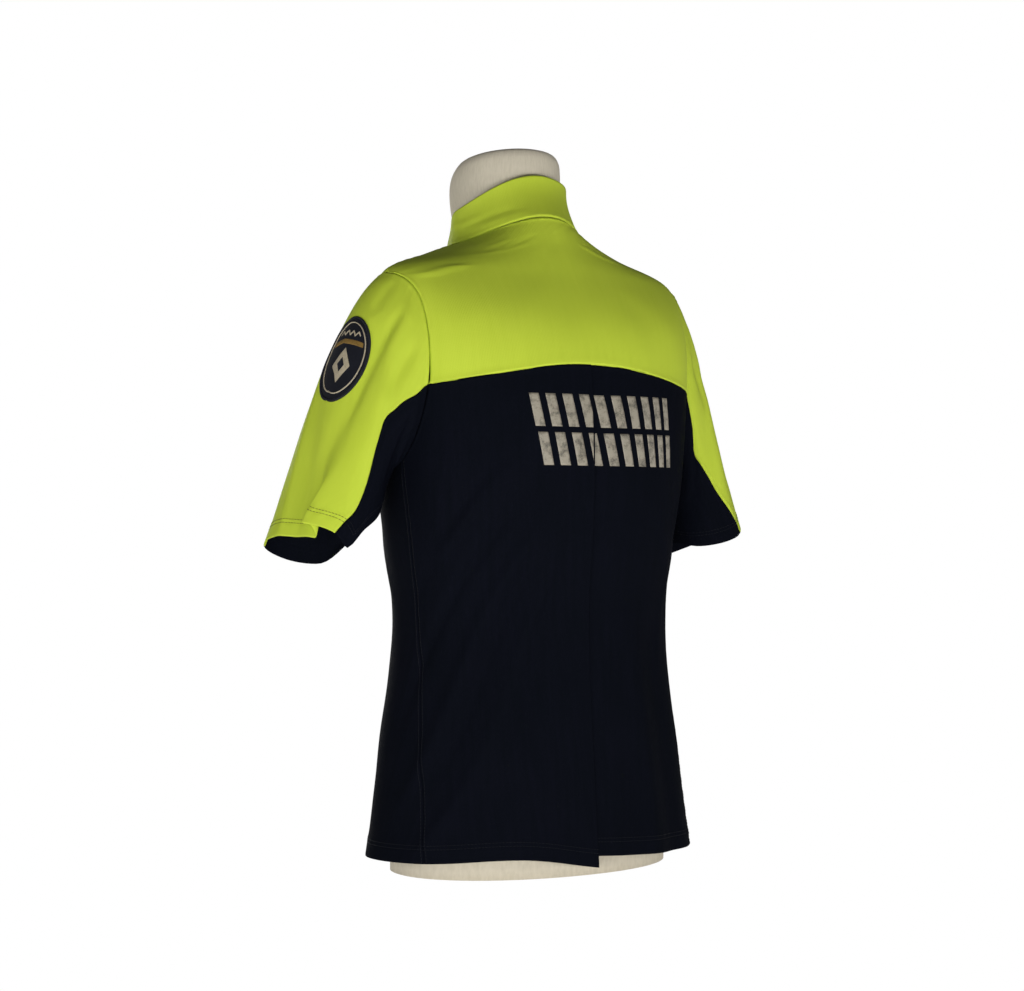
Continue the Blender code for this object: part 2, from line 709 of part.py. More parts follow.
# ---------------------------------------------------------------- collar and placket
def collar_points():
    """From the wearer's left front end, round the back, to the right one."""
    points = []
    for row in range(ROWS_COLLAR + 1):
        up = row / ROWS_COLLAR
        line = []
        for column in range(COLUMNS_COLLAR + 1):
            along = column / COLUMNS_COLLAR
            end_turn = mix(COLLAR_FRONT_TURN, COLLAR_TOP_TURN, up)
            turn = mix(end_turn, 180.0 - end_turn, along)
            base = trunk_point(turn, NECK)
            outwards = Vector((math.cos(math.radians(turn)), math.sin(math.radians(turn)), 0.0))
            end = abs(2.0 * along - 1.0)
            centre_y = mix(COLLAR_BACK_CENTRE_Y, COLLAR_FRONT_CENTRE_Y, end ** 2)
            top = Vector((0.0, centre_y, base.z)) + outwards * COLLAR_TOP_HALF
            flare = smooth_step((end - COLLAR_FLARE_START) / (1.0 - COLLAR_FLARE_START))
            top += outwards * (COLLAR_FLARE * flare)
            point = mix(base, top, math.sin(up * math.pi / 2))
            height = COLLAR_HEIGHT * mix(1.0, COLLAR_FRONT_SHARE, end ** 2)
            point.z += SEAM_GAP + CLOTH * 0.5 + height * up
            line.append(point)
        points.append(line)
    return points


def band_points(yoke):
    """The left placket band, laid on the front yoke's own grid along the slit."""
    out = CLOTH + LIFT
    return [[laid_on(yoke, row, column, out) for column in (0.0, 0.5, 1.0)]
            for row in range(BAND_FIRST_ROW, len(yoke))]


def add_button(name, collection, band, row):
    """A flat round button on the right placket band, facing away from the trunk."""
    out = CLOTH / 2 + 2 * LIFT + BUTTON_HEIGHT / 2
    normal = mirrored(grid_normal(band, row, 1))
    centre = mirrored(laid_on(band, row, 1.0, out))
    shape = bmesh.new()
    bmesh.ops.create_cone(shape, cap_ends=True, segments=BUTTON_SIDES, radius1=BUTTON_RADIUS,
                          radius2=BUTTON_RADIUS * BUTTON_TAPER, depth=BUTTON_HEIGHT)
    mesh = bpy.data.meshes.new(name)
    shape.to_mesh(mesh)
    shape.free()
    button = add_object(name, mesh, collection, BUTTON_LIME, BUTTON_ROUGHNESS)
    button.location = centre
    button.rotation_euler = normal.to_track_quat("Z", "Y").to_euler()
    return button


# ---------------------------------------------------------------- dress form
def form_trunk_ring(level):
    inset = read_row(FORM_INSETS, level)[0]
    ring = []
    for step in range(FORM_SIDES):
        turn = 360.0 * step / FORM_SIDES
        ring.append(plain_trunk(turn, level) - trunk_normal(turn, level) * inset)
    return ring


def form_neck_ring(height, half_width, half_depth, centre_y, tilt):
    ring = []
    for step in range(FORM_SIDES):
        angle = 2.0 * math.pi * step / FORM_SIDES
        ring.append(Vector((half_width * math.cos(angle), centre_y + half_depth * math.sin(angle),
                            height + tilt * math.sin(angle))))
    return ring


def form_rings():
    """All rings of the form, from its flat underside to the top of its neck."""
    levels = clocks(HEM, UNDERARM, 8) + clocks(UNDERARM, SHOULDER, 7)[1:]
    levels += clocks(SHOULDER, NECK, 9)[1:]
    rings = [form_trunk_ring(level) for level in levels]
    foot = [Vector((point.x, point.y, 0.0)) for point in rings[0]]
    return [foot] + rings + [form_neck_ring(*row) for row in FORM_NECK]


def add_dress_form(collection):
    """A loft through the rings, closed below by a flat face and above by a low dome."""
    rings = form_rings()
    rows = len(rings) - 1
    body = bmesh.new()
    bmesh.ops.create_grid(body, x_segments=FORM_SIDES, y_segments=rows, size=0.5)
    for vertex in body.verts:
        column = round((vertex.co.x + 0.5) * FORM_SIDES) % FORM_SIDES
        row = round((vertex.co.y + 0.5) * rows)
        vertex.co = rings[row][column]
    bmesh.ops.remove_doubles(body, verts=body.verts, dist=0.00005)
    rims = [edge for edge in body.edges if edge.is_boundary]
    bmesh.ops.holes_fill(body, edges=rims, sides=FORM_SIDES)
    bmesh.ops.recalc_face_normals(body, faces=body.faces)
    mesh = bpy.data.meshes.new("dress_form")
    body.to_mesh(mesh)
    body.free()
    return add_object("dress_form", mesh, collection, FORM_COVER, COVER_ROUGHNESS)


# ---------------------------------------------------------------- assembly
def mirror_grid(points):
    return [[mirrored(point) for point in row] for row in points]


def build():
    clear_scene()
    collection = bpy.data.collections.new("polo_shirt_on_dress_form")
    bpy.context.scene.collection.children.link(collection)
    add_dress_form(collection)

    cloth_panel("back_panel", back_panel_points(), collection, NAVY, flip=True)
    cloth_panel("back_yoke", back_yoke_points(), collection, LIME, flip=True)
    cloth_panel("front_panel", front_panel_points(), collection, NAVY)
    front = front_yoke_points()
    cloth_panel("front_yoke_left", front, collection, LIME)
    cloth_panel("front_yoke_right", mirror_grid(front), collection, LIME, flip=True)

    for side in ("left", "right"):
        turned = side == "left"
        upper = sleeve_upper_points(side)
        under = sleeve_under_points(side)
        if not turned:
            upper, under = mirror_grid(upper), mirror_grid(under)
        cloth_panel("sleeve_upper_" + side, upper, collection, LIME, flip=turned)
        if turned:
            cloth_panel("sleeve_patch", patch_points(upper), collection, PATCH_NAVY, flip=True)
        cloth_panel("sleeve_under_" + side, under, collection, NAVY, flip=turned)

    cloth_panel("collar", collar_points(), collection, LIME)
    band = band_points(front)
    cloth_panel("placket_band_left", band, collection, LIME)
    cloth_panel("placket_band_right", mirror_grid(band), collection, LIME, flip=True)
    for number, row in enumerate(BUTTON_ROWS, start=1):
        add_button("button_" + str(number), collection, band, row)


build()
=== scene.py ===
"""Two-colour knit polo shirt with a pleated back on its dress form, seen from behind and the left.

Metres, +Z up. The front faces -Y and the wearer's left is +X.
"""
import math

import bmesh
import bpy
from mathutils import Matrix, Quaternion, Vector, noise


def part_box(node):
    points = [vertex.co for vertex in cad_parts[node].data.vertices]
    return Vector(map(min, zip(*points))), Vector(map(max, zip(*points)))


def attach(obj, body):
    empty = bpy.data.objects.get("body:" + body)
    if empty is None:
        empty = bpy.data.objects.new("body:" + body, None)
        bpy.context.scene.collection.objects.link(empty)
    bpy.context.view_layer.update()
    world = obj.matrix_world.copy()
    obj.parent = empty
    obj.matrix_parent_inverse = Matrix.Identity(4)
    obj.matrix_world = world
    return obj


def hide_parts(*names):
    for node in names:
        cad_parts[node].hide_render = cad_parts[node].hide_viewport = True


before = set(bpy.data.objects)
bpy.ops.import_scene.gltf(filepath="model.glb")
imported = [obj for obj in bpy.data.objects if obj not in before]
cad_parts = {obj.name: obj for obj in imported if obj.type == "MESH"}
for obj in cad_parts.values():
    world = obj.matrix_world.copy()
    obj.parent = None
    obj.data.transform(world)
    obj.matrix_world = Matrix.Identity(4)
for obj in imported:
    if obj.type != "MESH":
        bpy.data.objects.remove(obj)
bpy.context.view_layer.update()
scene = bpy.context.scene
scene.view_settings.view_transform = "Standard"
scene.view_settings.look = "None"

# ---------------------------------------------------------------- camera
# A long lens at chest height, from behind the wearer's left shoulder.
PICTURE_WIDTH, PICTURE_HEIGHT = 1024, 991
CAMERA_AZIMUTH = math.radians(147.0)
CAMERA_DISTANCE = 2.5
CAMERA_HEIGHT = 0.387
CAMERA_ROLL = math.radians(0.3)
METRES_PER_PIXEL = 0.001058   # at the centre back, which is 92 mm nearer than the axis
CENTRE_BACK_NEARER = 0.0925
AXIS_PIXEL = 531.0            # where the form's axis falls across the picture
HORIZON_PIXEL = 510.0

lens_pixels = (CAMERA_DISTANCE - CENTRE_BACK_NEARER) / METRES_PER_PIXEL
towards_camera = Vector((math.sin(CAMERA_AZIMUTH), -math.cos(CAMERA_AZIMUTH), 0.0))
camera_data = bpy.data.cameras.new("camera")
camera_data.sensor_width = 36.0
camera_data.lens = lens_pixels * camera_data.sensor_width / PICTURE_WIDTH
camera_data.shift_x = (PICTURE_WIDTH / 2 - AXIS_PIXEL) / PICTURE_WIDTH
camera_data.shift_y = (HORIZON_PIXEL - PICTURE_HEIGHT / 2) / PICTURE_WIDTH
camera = bpy.data.objects.new("camera", camera_data)
scene.collection.objects.link(camera)
camera.location = Vector((0.0, 0.0, CAMERA_HEIGHT)) + towards_camera * CAMERA_DISTANCE
turned = towards_camera.to_track_quat("Z", "Y") @ Quaternion((0.0, 0.0, 1.0), CAMERA_ROLL)
camera.rotation_euler = turned.to_euler()
scene.camera = camera


# ---------------------------------------------------------------- studio
# A white floor in a white surround, softboxes low behind the shirt and weaker ones in front: the
# shirt is lit from the sides and from below more than from above.
def colour(code):
    """Linear colour from an sRGB hex code."""
    channels = []
    for start in (0, 2, 4):
        value = int(code[start:start + 2], 16) / 255.0
        channels.append(value / 12.92 if value <= 0.04045 else ((value + 0.055) / 1.055) ** 2.4)
    return (*channels, 1.0)


def add_node(tree, kind, sockets, **settings):
    """A node with its settings, and its sockets set to values or linked to other sockets."""
    added = tree.nodes.new(kind)
    for key, value in settings.items():
        setattr(added, key, value)
    for key, value in sockets.items():
        if isinstance(value, bpy.types.NodeSocket):
            tree.links.new(value, added.inputs[key])
        else:
            added.inputs[key].default_value = value
    return added


def new_material(name):
    """A material with an empty node tree but for its output."""
    material = bpy.data.materials.new(name)
    material.use_nodes = True
    material.node_tree.nodes.clear()
    output = add_node(material.node_tree, "ShaderNodeOutputMaterial", {})
    return material, material.node_tree, output


def softbox(name, azimuth, distance, height, size, power, aim_height):
    """A rectangular light round the form at an azimuth in degrees, aimed at its axis."""
    light_data = bpy.data.lights.new(name, "AREA")
    light_data.shape = "RECTANGLE"
    light_data.size, light_data.size_y = size
    light_data.energy = power
    light = bpy.data.objects.new(name, light_data)
    light.visible_camera = False
    scene.collection.objects.link(light)
    angle = math.radians(azimuth)
    light.location = (distance * math.sin(angle), -distance * math.cos(angle), height)
    aim = Vector((0.0, 0.0, aim_height)) - light.location
    light.rotation_euler = aim.to_track_quat("-Z", "Y").to_euler()
    return light


FLOOR_SIZE = 40.0
floor_mesh = bpy.data.meshes.new("floor")
floor_shape = bmesh.new()
bmesh.ops.create_grid(floor_shape, x_segments=1, y_segments=1, size=FLOOR_SIZE / 2)
floor_shape.to_mesh(floor_mesh)
floor_shape.free()
floor = bpy.data.objects.new("floor", floor_mesh)
scene.collection.objects.link(floor)
paper, tree, output = new_material("matt_white_backdrop_paper")
surface = add_node(tree, "ShaderNodeBsdfPrincipled", {
    "Base Color": colour("F4F4F4"), "Roughness": 0.9,
    "Emission Color": colour("FFFFFF"), "Emission Strength": 0.34})
# What the lens sees of the paper is overexposed to plain white.
seen = add_node(tree, "ShaderNodeLightPath", {})
white = add_node(tree, "ShaderNodeEmission", {"Color": colour("FFFFFF"), "Strength": 1.0})
paper_or_white = add_node(tree, "ShaderNodeMixShader", {
    0: seen.outputs["Is Camera Ray"], 1: surface.outputs["BSDF"], 2: white.outputs["Emission"]})
tree.links.new(paper_or_white.outputs["Shader"], output.inputs["Surface"])
floor_mesh.materials.append(paper)

SURROUND_STRENGTH = 0.08
world = bpy.data.worlds.new("white_surround")
scene.world = world
world.use_nodes = True
tree = world.node_tree
tree.nodes.clear()
seen = add_node(tree, "ShaderNodeLightPath", {})
strength = add_node(tree, "ShaderNodeMapRange", {
    "Value": seen.outputs["Is Camera Ray"], "To Min": SURROUND_STRENGTH, "To Max": 1.0})
backing = add_node(tree, "ShaderNodeBackground", {
    "Color": (1.0, 1.0, 1.0, 1.0), "Strength": strength.outputs["Result"]})
add_node(tree, "ShaderNodeOutputWorld", {"Surface": backing.outputs["Background"]})
softbox("softbox_behind_left", 132.0, 1.45, 0.14, (0.9, 0.24), 6.4, 0.42)
softbox("softbox_behind", 178.0, 1.5, 0.13, (0.9, 0.22), 7.4, 0.42)
softbox("softbox_front", 345.0, 2.4, 0.42, (1.4, 1.2), 21.0, 0.42)
softbox("softbox_right", 240.0, 2.4, 0.30, (1.0, 0.8), 5.0, 0.42)
softbox("softbox_left", 74.0, 2.4, 0.30, (1.1, 1.0), 7.0, 0.42)


# ---------------------------------------------------------------- dress form
# A limbless torso form with a hard shell under a stretched jersey cover. It ends just below the
# shirt's hem and at a low rounded neck. The trunk of the shirt follows the same rings.
TRUNK_RINGS = [
    # level height half_width half_depth centre_y square back_rise front_drop
    (0, 0.016, 0.1910, 0.1330, 0.000, 2.1, 0.000, 0.000),    # hem
    (1, 0.115, 0.1775, 0.1245, 0.000, 2.1, 0.000, 0.000),    # hip
    (2, 0.265, 0.1595, 0.1120, 0.000, 2.1, 0.000, 0.000),    # waist
    (3, 0.350, 0.1680, 0.1180, 0.000, 2.2, 0.000, 0.000),    # ribs
    (4, 0.430, 0.1770, 0.1220, 0.000, 2.3, 0.000, 0.000),    # underarm
    (5, 0.510, 0.1800, 0.1180, 0.000, 2.5, 0.000, 0.000),    # chest
    (6, 0.580, 0.1830, 0.1050, -0.002, 2.6, 0.002, 0.002),   # blade
    (7, 0.637, 0.1800, 0.0720, -0.006, 2.2, 0.008, 0.006),   # shoulder
    (8, 0.662, 0.1230, 0.0610, -0.016, 2.1, 0.018, 0.016),   # trapeze
    (9, 0.679, 0.0715, 0.0700, -0.0375, 2.0, 0.026, 0.026),  # neck
]
HEM, HIP, WAIST, RIBS, UNDERARM, CHEST, BLADE, SHOULDER, TRAPEZE, NECK = range(10)
FORM_INSETS = [
    # level    inset from the middle of the cloth
    (HEM, 0.0280), (HIP, 0.0190), (WAIST, 0.0160), (RIBS, 0.0130), (UNDERARM, 0.0100),
    (CHEST, 0.0075), (BLADE, 0.0058), (SHOULDER, 0.0042), (TRAPEZE, 0.0026), (NECK, 0.0048),
]
FORM_NECK = [
    # height half_width half_depth centre_y tilt
    (0.700, 0.0630, 0.0620, -0.0405, 0.012),
    (0.709, 0.0622, 0.0610, -0.0470, 0.012),
    (0.721, 0.0622, 0.0610, -0.0530, 0.012),
    (0.737, 0.0622, 0.0612, -0.0570, 0.009),
    (0.755, 0.0615, 0.0615, -0.0570, 0.010),
    (0.768, 0.0585, 0.0570, -0.0540, 0.010),
    (0.776, 0.0500, 0.0480, -0.0520, 0.008),
]
FORM_SIDES = 120
FORM_SUBROWS = 5          # rows of the mesh between two of its rings


def smooth_step(value):
    """A share that eases in and out between 0 and 1."""
    value = min(max(value, 0.0), 1.0)
    return value * value * (3.0 - 2.0 * value)


def mix(start, end, share):
    """The value or place at a share of the way between two others."""
    return start + (end - start) * share


def read_row(table, key):
    """The table's columns after the first, at a key in its first column, as a smooth curve."""
    count = len(table)
    key = min(max(key, table[0][0]), table[-1][0])
    index = 0
    while index < count - 2 and key > table[index + 1][0]:
        index += 1
    low, high = table[index], table[index + 1]
    before = table[max(index - 1, 0)]
    after = table[min(index + 2, count - 1)]
    span = high[0] - low[0]
    share = (key - low[0]) / span
    square, cube = share ** 2, share ** 3
    values = []
    for column in range(1, len(low)):
        slope_low = (high[column] - before[column]) / (high[0] - before[0]) * span
        slope_high = (after[column] - low[column]) / (after[0] - low[0]) * span
        step = high[column] - low[column]
        if step * (low[column] - before[column]) <= 0.0 and index > 0:
            slope_low = 0.0
        if step * (after[column] - high[column]) <= 0.0 and index < count - 2:
            slope_high = 0.0
        values.append((2 * cube - 3 * square + 1) * low[column]
                      + (cube - 2 * square + share) * slope_low
                      + (3 * square - 2 * cube) * high[column]
                      + (cube - square) * slope_high)
    return values


def ring_radius(cosine, sine, half_width, half_depth, square):
    """Distance from a superellipse's middle to its edge, in the given direction."""
    wide = abs(cosine / half_width) ** square
    deep = abs(sine / half_depth) ** square
    return (wide + deep) ** (-1.0 / square)


def trunk_place(turn, level):
    """A place on the trunk: turn in degrees from the wearer's left to the back, and a level."""
    height, half_width, half_depth, centre_y, square, rise, drop = read_row(TRUNK_RINGS, level)
    cosine = math.cos(math.radians(turn))
    sine = math.sin(math.radians(turn))
    radius = ring_radius(cosine, sine, half_width, half_depth, square)
    tilt = rise if sine > 0.0 else -drop
    return Vector((radius * cosine, centre_y + radius * sine, height + tilt * sine * sine))


def trunk_outwards(turn, level):
    """Direction straight out of the trunk at a place."""
    along = trunk_place(turn + 1.0, level) - trunk_place(turn - 1.0, level)
    up = trunk_place(turn, min(level + 0.05, NECK)) - trunk_place(turn, max(level - 0.05, HEM))
    return along.cross(up).normalized()


def form_ring(level, inset):
    """Places round the form at a level, inside the cloth by an inset."""
    ring = []
    for step in range(FORM_SIDES):
        turn = 360.0 * step / FORM_SIDES
        ring.append(trunk_place(turn, level) - trunk_outwards(turn, level) * inset)
    return ring


def form_neck_ring(height, half_width, half_depth, centre_y, tilt):
    """Places round the form's neck, on an oval that tilts up towards the back."""
    ring = []
    for step in range(FORM_SIDES):
        angle = 2.0 * math.pi * step / FORM_SIDES
        ring.append(Vector((half_width * math.cos(angle), centre_y + half_depth * math.sin(angle),
                            height + tilt * math.sin(angle))))
    return ring


def smooth_rings(rings, subrows):
    """More rings between the given ones, on a cubic curve through each line of points."""
    finer = []
    last = len(rings) - 1
    for index in range(last):
        before, low = rings[max(index - 1, 0)], rings[index]
        high, after = rings[index + 1], rings[min(index + 2, last)]
        for step in range(subrows):
            share = step / subrows
            square, cube = share ** 2, share ** 3
            finer.append([(a * (-cube + 2 * square - share) + b * (3 * cube - 5 * square + 2)
                           + c * (-3 * cube + 4 * square + share) + d * (cube - square)) * 0.5
                          for a, b, c, d in zip(before, low, high, after)])
    return finer + [rings[last]]


form_levels = [HEM + step * 0.5 for step in range(19)]
form_rings = [form_ring(level, read_row(FORM_INSETS, level)[0]) for level in form_levels]
form_rings += [form_neck_ring(*row) for row in FORM_NECK]
crown = sum(form_rings[-1], Vector()) / FORM_SIDES + Vector((0.0, 0.0, 0.0015))
form_rings.append([mix(crown, point, 0.55) + Vector((0.0, 0.0, 0.0008))
                   for point in form_rings[-1]])
form_rings.append([mix(crown, point, 0.04) for point in form_rings[-2]])
form_rings = smooth_rings(form_rings, FORM_SUBROWS)
foot = [Vector((point.x, point.y, 0.0)) for point in form_rings[0]]
form_rings.insert(0, foot)

form_shape = bmesh.new()
rows = len(form_rings) - 1
bmesh.ops.create_grid(form_shape, x_segments=FORM_SIDES, y_segments=rows, size=0.5)
threads = form_shape.loops.layers.uv.new("threads")
FORM_ROUND = 1.0          # metres round the chest, in which the cover's wales are counted
places = {}
for vertex in form_shape.verts:
    column = round((vertex.co.x + 0.5) * FORM_SIDES)
    vertex.co = form_rings[round((vertex.co.y + 0.5) * rows)][column % FORM_SIDES]
    places[vertex] = (FORM_ROUND * column / FORM_SIDES, vertex.co.z)
for face in form_shape.faces:
    for loop in face.loops:
        loop[threads].uv = places[loop.vert]
bmesh.ops.remove_doubles(form_shape, verts=form_shape.verts, dist=0.00002)
rims = [edge for edge in form_shape.edges if edge.is_boundary]
bmesh.ops.holes_fill(form_shape, edges=rims, sides=FORM_SIDES)
bmesh.ops.recalc_face_normals(form_shape, faces=form_shape.faces)


def make_piece(name, shape, material, node=None):
    """Turn a finished bmesh into a piece of the object that rides on the one body."""
    mesh = bpy.data.meshes.new(name)
    shape.to_mesh(mesh)
    shape.free()
    for polygon in mesh.polygons:
        polygon.use_smooth = True
    mesh.materials.append(material)
    piece = bpy.data.objects.new(name, mesh)
    scene.collection.objects.link(piece)
    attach(piece, "root")
    if node:
        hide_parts(node)
    return piece


# Off-white cotton jersey, stretched so that its wales show as fine upright lines, partly in
# painted shade. They are drawn 5 mm apart at the chest and half as far at the neck, because
# the real ones are too fine to show.
COVER_WALE = 0.0050
jersey, tree, output = new_material("off_white_stretched_jersey")
place = add_node(tree, "ShaderNodeUVMap", {}, uv_map="threads")
flow = add_node(tree, "ShaderNodeTexNoise", {
    "Vector": place.outputs["UV"], "Scale": 30.0, "Detail": 2.0})
sway = add_node(tree, "ShaderNodeVectorMath", {
    0: flow.outputs["Color"], 1: (0.004, 0.004, 0.0)}, operation="MULTIPLY")
wandering = add_node(tree, "ShaderNodeVectorMath", {
    0: place.outputs["UV"], 1: sway.outputs["Vector"]}, operation="ADD")
drawn = add_node(tree, "ShaderNodeMapping", {
    "Vector": wandering.outputs["Vector"], "Scale": (1.0 / COVER_WALE, 90.0, 1.0)})
wales = add_node(tree, "ShaderNodeTexNoise", {
    "Vector": drawn.outputs["Vector"], "Scale": 1.0, "Detail": 3.0, "Roughness": 0.6})
# Painted shade: the colour is darker where the relief of the wales is low.
tint = add_node(tree, "ShaderNodeValToRGB", {"Fac": wales.outputs["Fac"]})
tint.color_ramp.elements[0].color = colour("D0C7B2")
tint.color_ramp.elements[0].position = 0.30
tint.color_ramp.elements[1].color = colour("DAD1BD")
tint.color_ramp.elements[1].position = 0.62
relief = add_node(tree, "ShaderNodeBump", {
    "Height": wales.outputs["Fac"], "Strength": 0.4, "Distance": 0.0004})
surface = add_node(tree, "ShaderNodeBsdfPrincipled", {
    "Base Color": tint.outputs["Color"], "Roughness": 0.85, "Sheen Weight": 0.05,
    "Sheen Roughness": 0.5, "Specular IOR Level": 0.2, "Normal": relief.outputs["Normal"]})
tree.links.new(surface.outputs["BSDF"], output.inputs["Surface"])
make_piece("form_jersey_cover", form_shape, jersey, "dress_form")


# ---------------------------------------------------------------- back panel
# One piece of navy interlock knit from the yoke seam to the hem, with a knife pleat at the centre
# back that is caught in the yoke seam and opens downwards, and a turned-up hem.
CLOTH = 0.0010            # thickness of the knit
SEAM_GAP = 0.0003         # the two pieces of a seam nearly touch
HEM_DEPTH = 0.020         # the turned-up part of a hem
HEM_STITCHES = (0.0148, 0.0187)   # the two rows of a twin needle, above the edge
SIDE_SEAM = [(HEM, 20.5), (HIP, 16.5), (WAIST, 9.0), (RIBS, 8.5)]   # level, turn
SIDE_SEAM_CLOCK = 158.0
ARMHOLE_TURN_BACK = 20.5
ARMHOLE_TURN_FRONT = 24.0
YOKE_CLOCK = 105.5
YOKE_LEVEL_MIDDLE = 5.42
YOKE_BOW = 2.5            # how flat the seam stays before it drops to the armholes
PLEAT_AT_YOKE = 0.009
PLEAT_AT_HEM = 0.026
LAYER_PITCH = 0.0017      # from the middle of one layer to the middle of the next
PLEAT_RETURN_WIDTH = 0.045
FOLD_STEPS = 7
HEM_LEFT = [(-90.0, 0.000), (-30.0, 0.000), (20.0, 0.004), (50.0, 0.009), (90.0, -0.004)]
HEM_RIGHT = [(90.0, 0.008), (135.0, 0.002), (180.0, -0.002), (270.0, 0.000)]
FOLD_FADE_IN = 0.4        # share of a fold's length over which it rises
FOLD_OVERRUN = 0.35       # share of its length by which it runs on, fading out
TRUNK_FOLDS = [
    # turn_a level_a turn_b level_b depth   width (turn degrees)
    (68.0, 3.70, 18.0, 1.10, 0.0046, 3.4),
    (58.0, 3.90, 12.0, 1.70, -0.0036, 3.0),
    (74.0, 2.90, 26.0, 0.50, 0.0040, 3.6),
    (66.0, 3.10, 30.0, 1.30, -0.0034, 3.4),
    (84.0, 3.60, 52.0, 1.10, -0.0030, 4.4),
    (50.0, 4.20, 24.0, 3.00, 0.0028, 3.0),
    (120.0, 2.30, 124.0, 0.00, 0.0050, 7.0),
    (136.0, 2.30, 140.0, 0.00, -0.0040, 7.0),
    (52.0, 1.60, 50.0, 0.00, 0.0030, 8.0),
    (-60.0, 2.30, -55.0, 0.00, 0.0045, 9.0),
    (-118.0, 2.30, -124.0, 0.00, 0.0045, 9.0),
    (-90.0, 1.90, -88.0, 0.00, -0.0030, 10.0),
    # drags from under the arms to the small of the back
    (42.0, 4.10, 14.0, 2.55, -0.0016, 3.5),
    (52.0, 4.20, 20.0, 2.20, 0.0014, 3.0),
    (138.0, 4.10, 166.0, 2.60, -0.0018, 4.0),
    (126.0, 3.90, 156.0, 2.10, 0.0016, 4.0),
    (-40.0, 4.20, -16.0, 2.60, 0.0016, 4.0),
    (-52.0, 4.10, -28.0, 2.30, -0.0016, 4.0),
    (-140.0, 4.20, -163.0, 2.50, 0.0016, 4.0),
    (-127.0, 4.00, -150.0, 2.20, -0.0014, 4.0),
    # short creases where the waist is nipped in
    (24.0, 2.60, 34.0, 1.80, 0.0012, 3.0),
    (150.0, 2.50, 142.0, 1.70, 0.0013, 3.5),
    (-34.0, 2.50, -40.0, 1.60, 0.0015, 4.0),
    (-146.0, 2.60, -140.0, 1.60, 0.0014, 4.0),
    # soft flutes above the hem
    (74.0, 1.50, 72.0, 0.00, -0.0016, 6.0),
    (100.0, 1.70, 103.0, 0.00, 0.0015, 4.0),
    (-75.0, 1.40, -73.0, 0.00, 0.0014, 6.0),
    (-20.0, 1.30, -16.0, 0.00, -0.0022, 7.0),
    (-160.0, 1.30, -166.0, 0.00, -0.0022, 7.0),
]


def fold_height(folds, first, second, wrap):
    """Height of the soft folds at a place given by its two surface coordinates."""
    height = 0.0
    for first_a, second_a, first_b, second_b, depth, width in folds:
        share = (second - second_a) / (second_b - second_a)
        if not 0.0 < share < 1.0 + FOLD_OVERRUN:
            continue
        away = (first - mix(first_a, first_b, share) + wrap / 2) % wrap - wrap / 2
        fade = smooth_step(share / FOLD_FADE_IN)
        fade *= smooth_step((1.0 + FOLD_OVERRUN - share) / FOLD_OVERRUN)
        height += depth * fade * math.exp(-(away / width) ** 2)
    return height


def trunk_cloth(turn, level, out=0.0):
    """A point of the trunk cloth's middle surface, with its folds."""
    out += fold_height(TRUNK_FOLDS, turn, level, 360.0)
    return trunk_place(turn, level) + trunk_outwards(turn, level) * out


def armhole_place(clock):
    """Turn and level of the left armhole at a clock angle: 0 on top, 90 at the back."""
    angle = math.radians(clock)
    middle = (UNDERARM + SHOULDER) / 2
    half = (SHOULDER - UNDERARM) / 2
    widest = ARMHOLE_TURN_BACK if math.sin(angle) > 0.0 else ARMHOLE_TURN_FRONT
    return widest * math.sin(angle), middle + half * math.cos(angle)


def yoke_level(turn):
    """Level of the yoke seam at a turn."""
    edge_turn, edge_level = armhole_place(YOKE_CLOCK)
    share = abs(math.cos(math.radians(turn))) / math.cos(math.radians(edge_turn))
    return mix(YOKE_LEVEL_MIDDLE, edge_level, share ** YOKE_BOW)


def stations(length, start, end, fine=0.0012, coarse=0.0046):
    """Shares from 0 to 1 along a length, closer together within start and end of its ends."""
    marks = [0.0]
    while marks[-1] < length:
        near_end = marks[-1] < start or marks[-1] > length - end
        marks.append(marks[-1] + (fine if near_end else coarse))
    return [mark / marks[-1] for mark in marks]


def panel_edge(share, end_clock, arm_share):
    """Turn and level up a panel's edge: the side seam, then the armhole to the yoke seam."""
    if share <= 1.0 - arm_share:
        top_turn, top_level = armhole_place(SIDE_SEAM_CLOCK)
        level = mix(HEM, top_level, share / (1.0 - arm_share))
        return read_row(SIDE_SEAM + [(top_level, top_turn)], level)[0], level
    upper = (share - 1.0 + arm_share) / arm_share
    return armhole_place(mix(SIDE_SEAM_CLOCK, end_clock, upper))


def pleat_columns(level):
    """Distance left of the fold edge, and height over the surface, through the pleat."""
    share = smooth_step(1.0 - level / YOKE_LEVEL_MIDDLE)
    depth = mix(PLEAT_AT_YOKE, PLEAT_AT_HEM, share)
    radius = LAYER_PITCH / 2
    columns = [(depth * away, 0.0) for away in (0.75, 0.5, 0.25, 0.1)]
    for step in range(FOLD_STEPS + 1):
        angle = math.pi * step / FOLD_STEPS
        columns.append((-radius * math.sin(angle), -radius * (1.0 - math.cos(angle))))
    columns += [(depth * away, -LAYER_PITCH) for away in (0.3, 0.7)]
    for step in range(FOLD_STEPS + 1):
        angle = math.pi * step / FOLD_STEPS
        columns.append((depth + radius * math.sin(angle),
                        -LAYER_PITCH - radius * (1.0 - math.cos(angle))))
    columns += [(depth * away, -2.0 * LAYER_PITCH) for away in (0.7, 0.3)]
    for away in range(12):
        outside = away / 12
        columns.append((-PLEAT_RETURN_WIDTH * outside,
                        -2.0 * LAYER_PITCH * (1.0 - smooth_step(outside))))
    return depth, columns


def turn_at(distance, level):
    """Turn of a place at a distance left of the centre back."""
    return 90.0 - math.degrees(math.atan2(distance, read_row(TRUNK_RINGS, level)[2]))


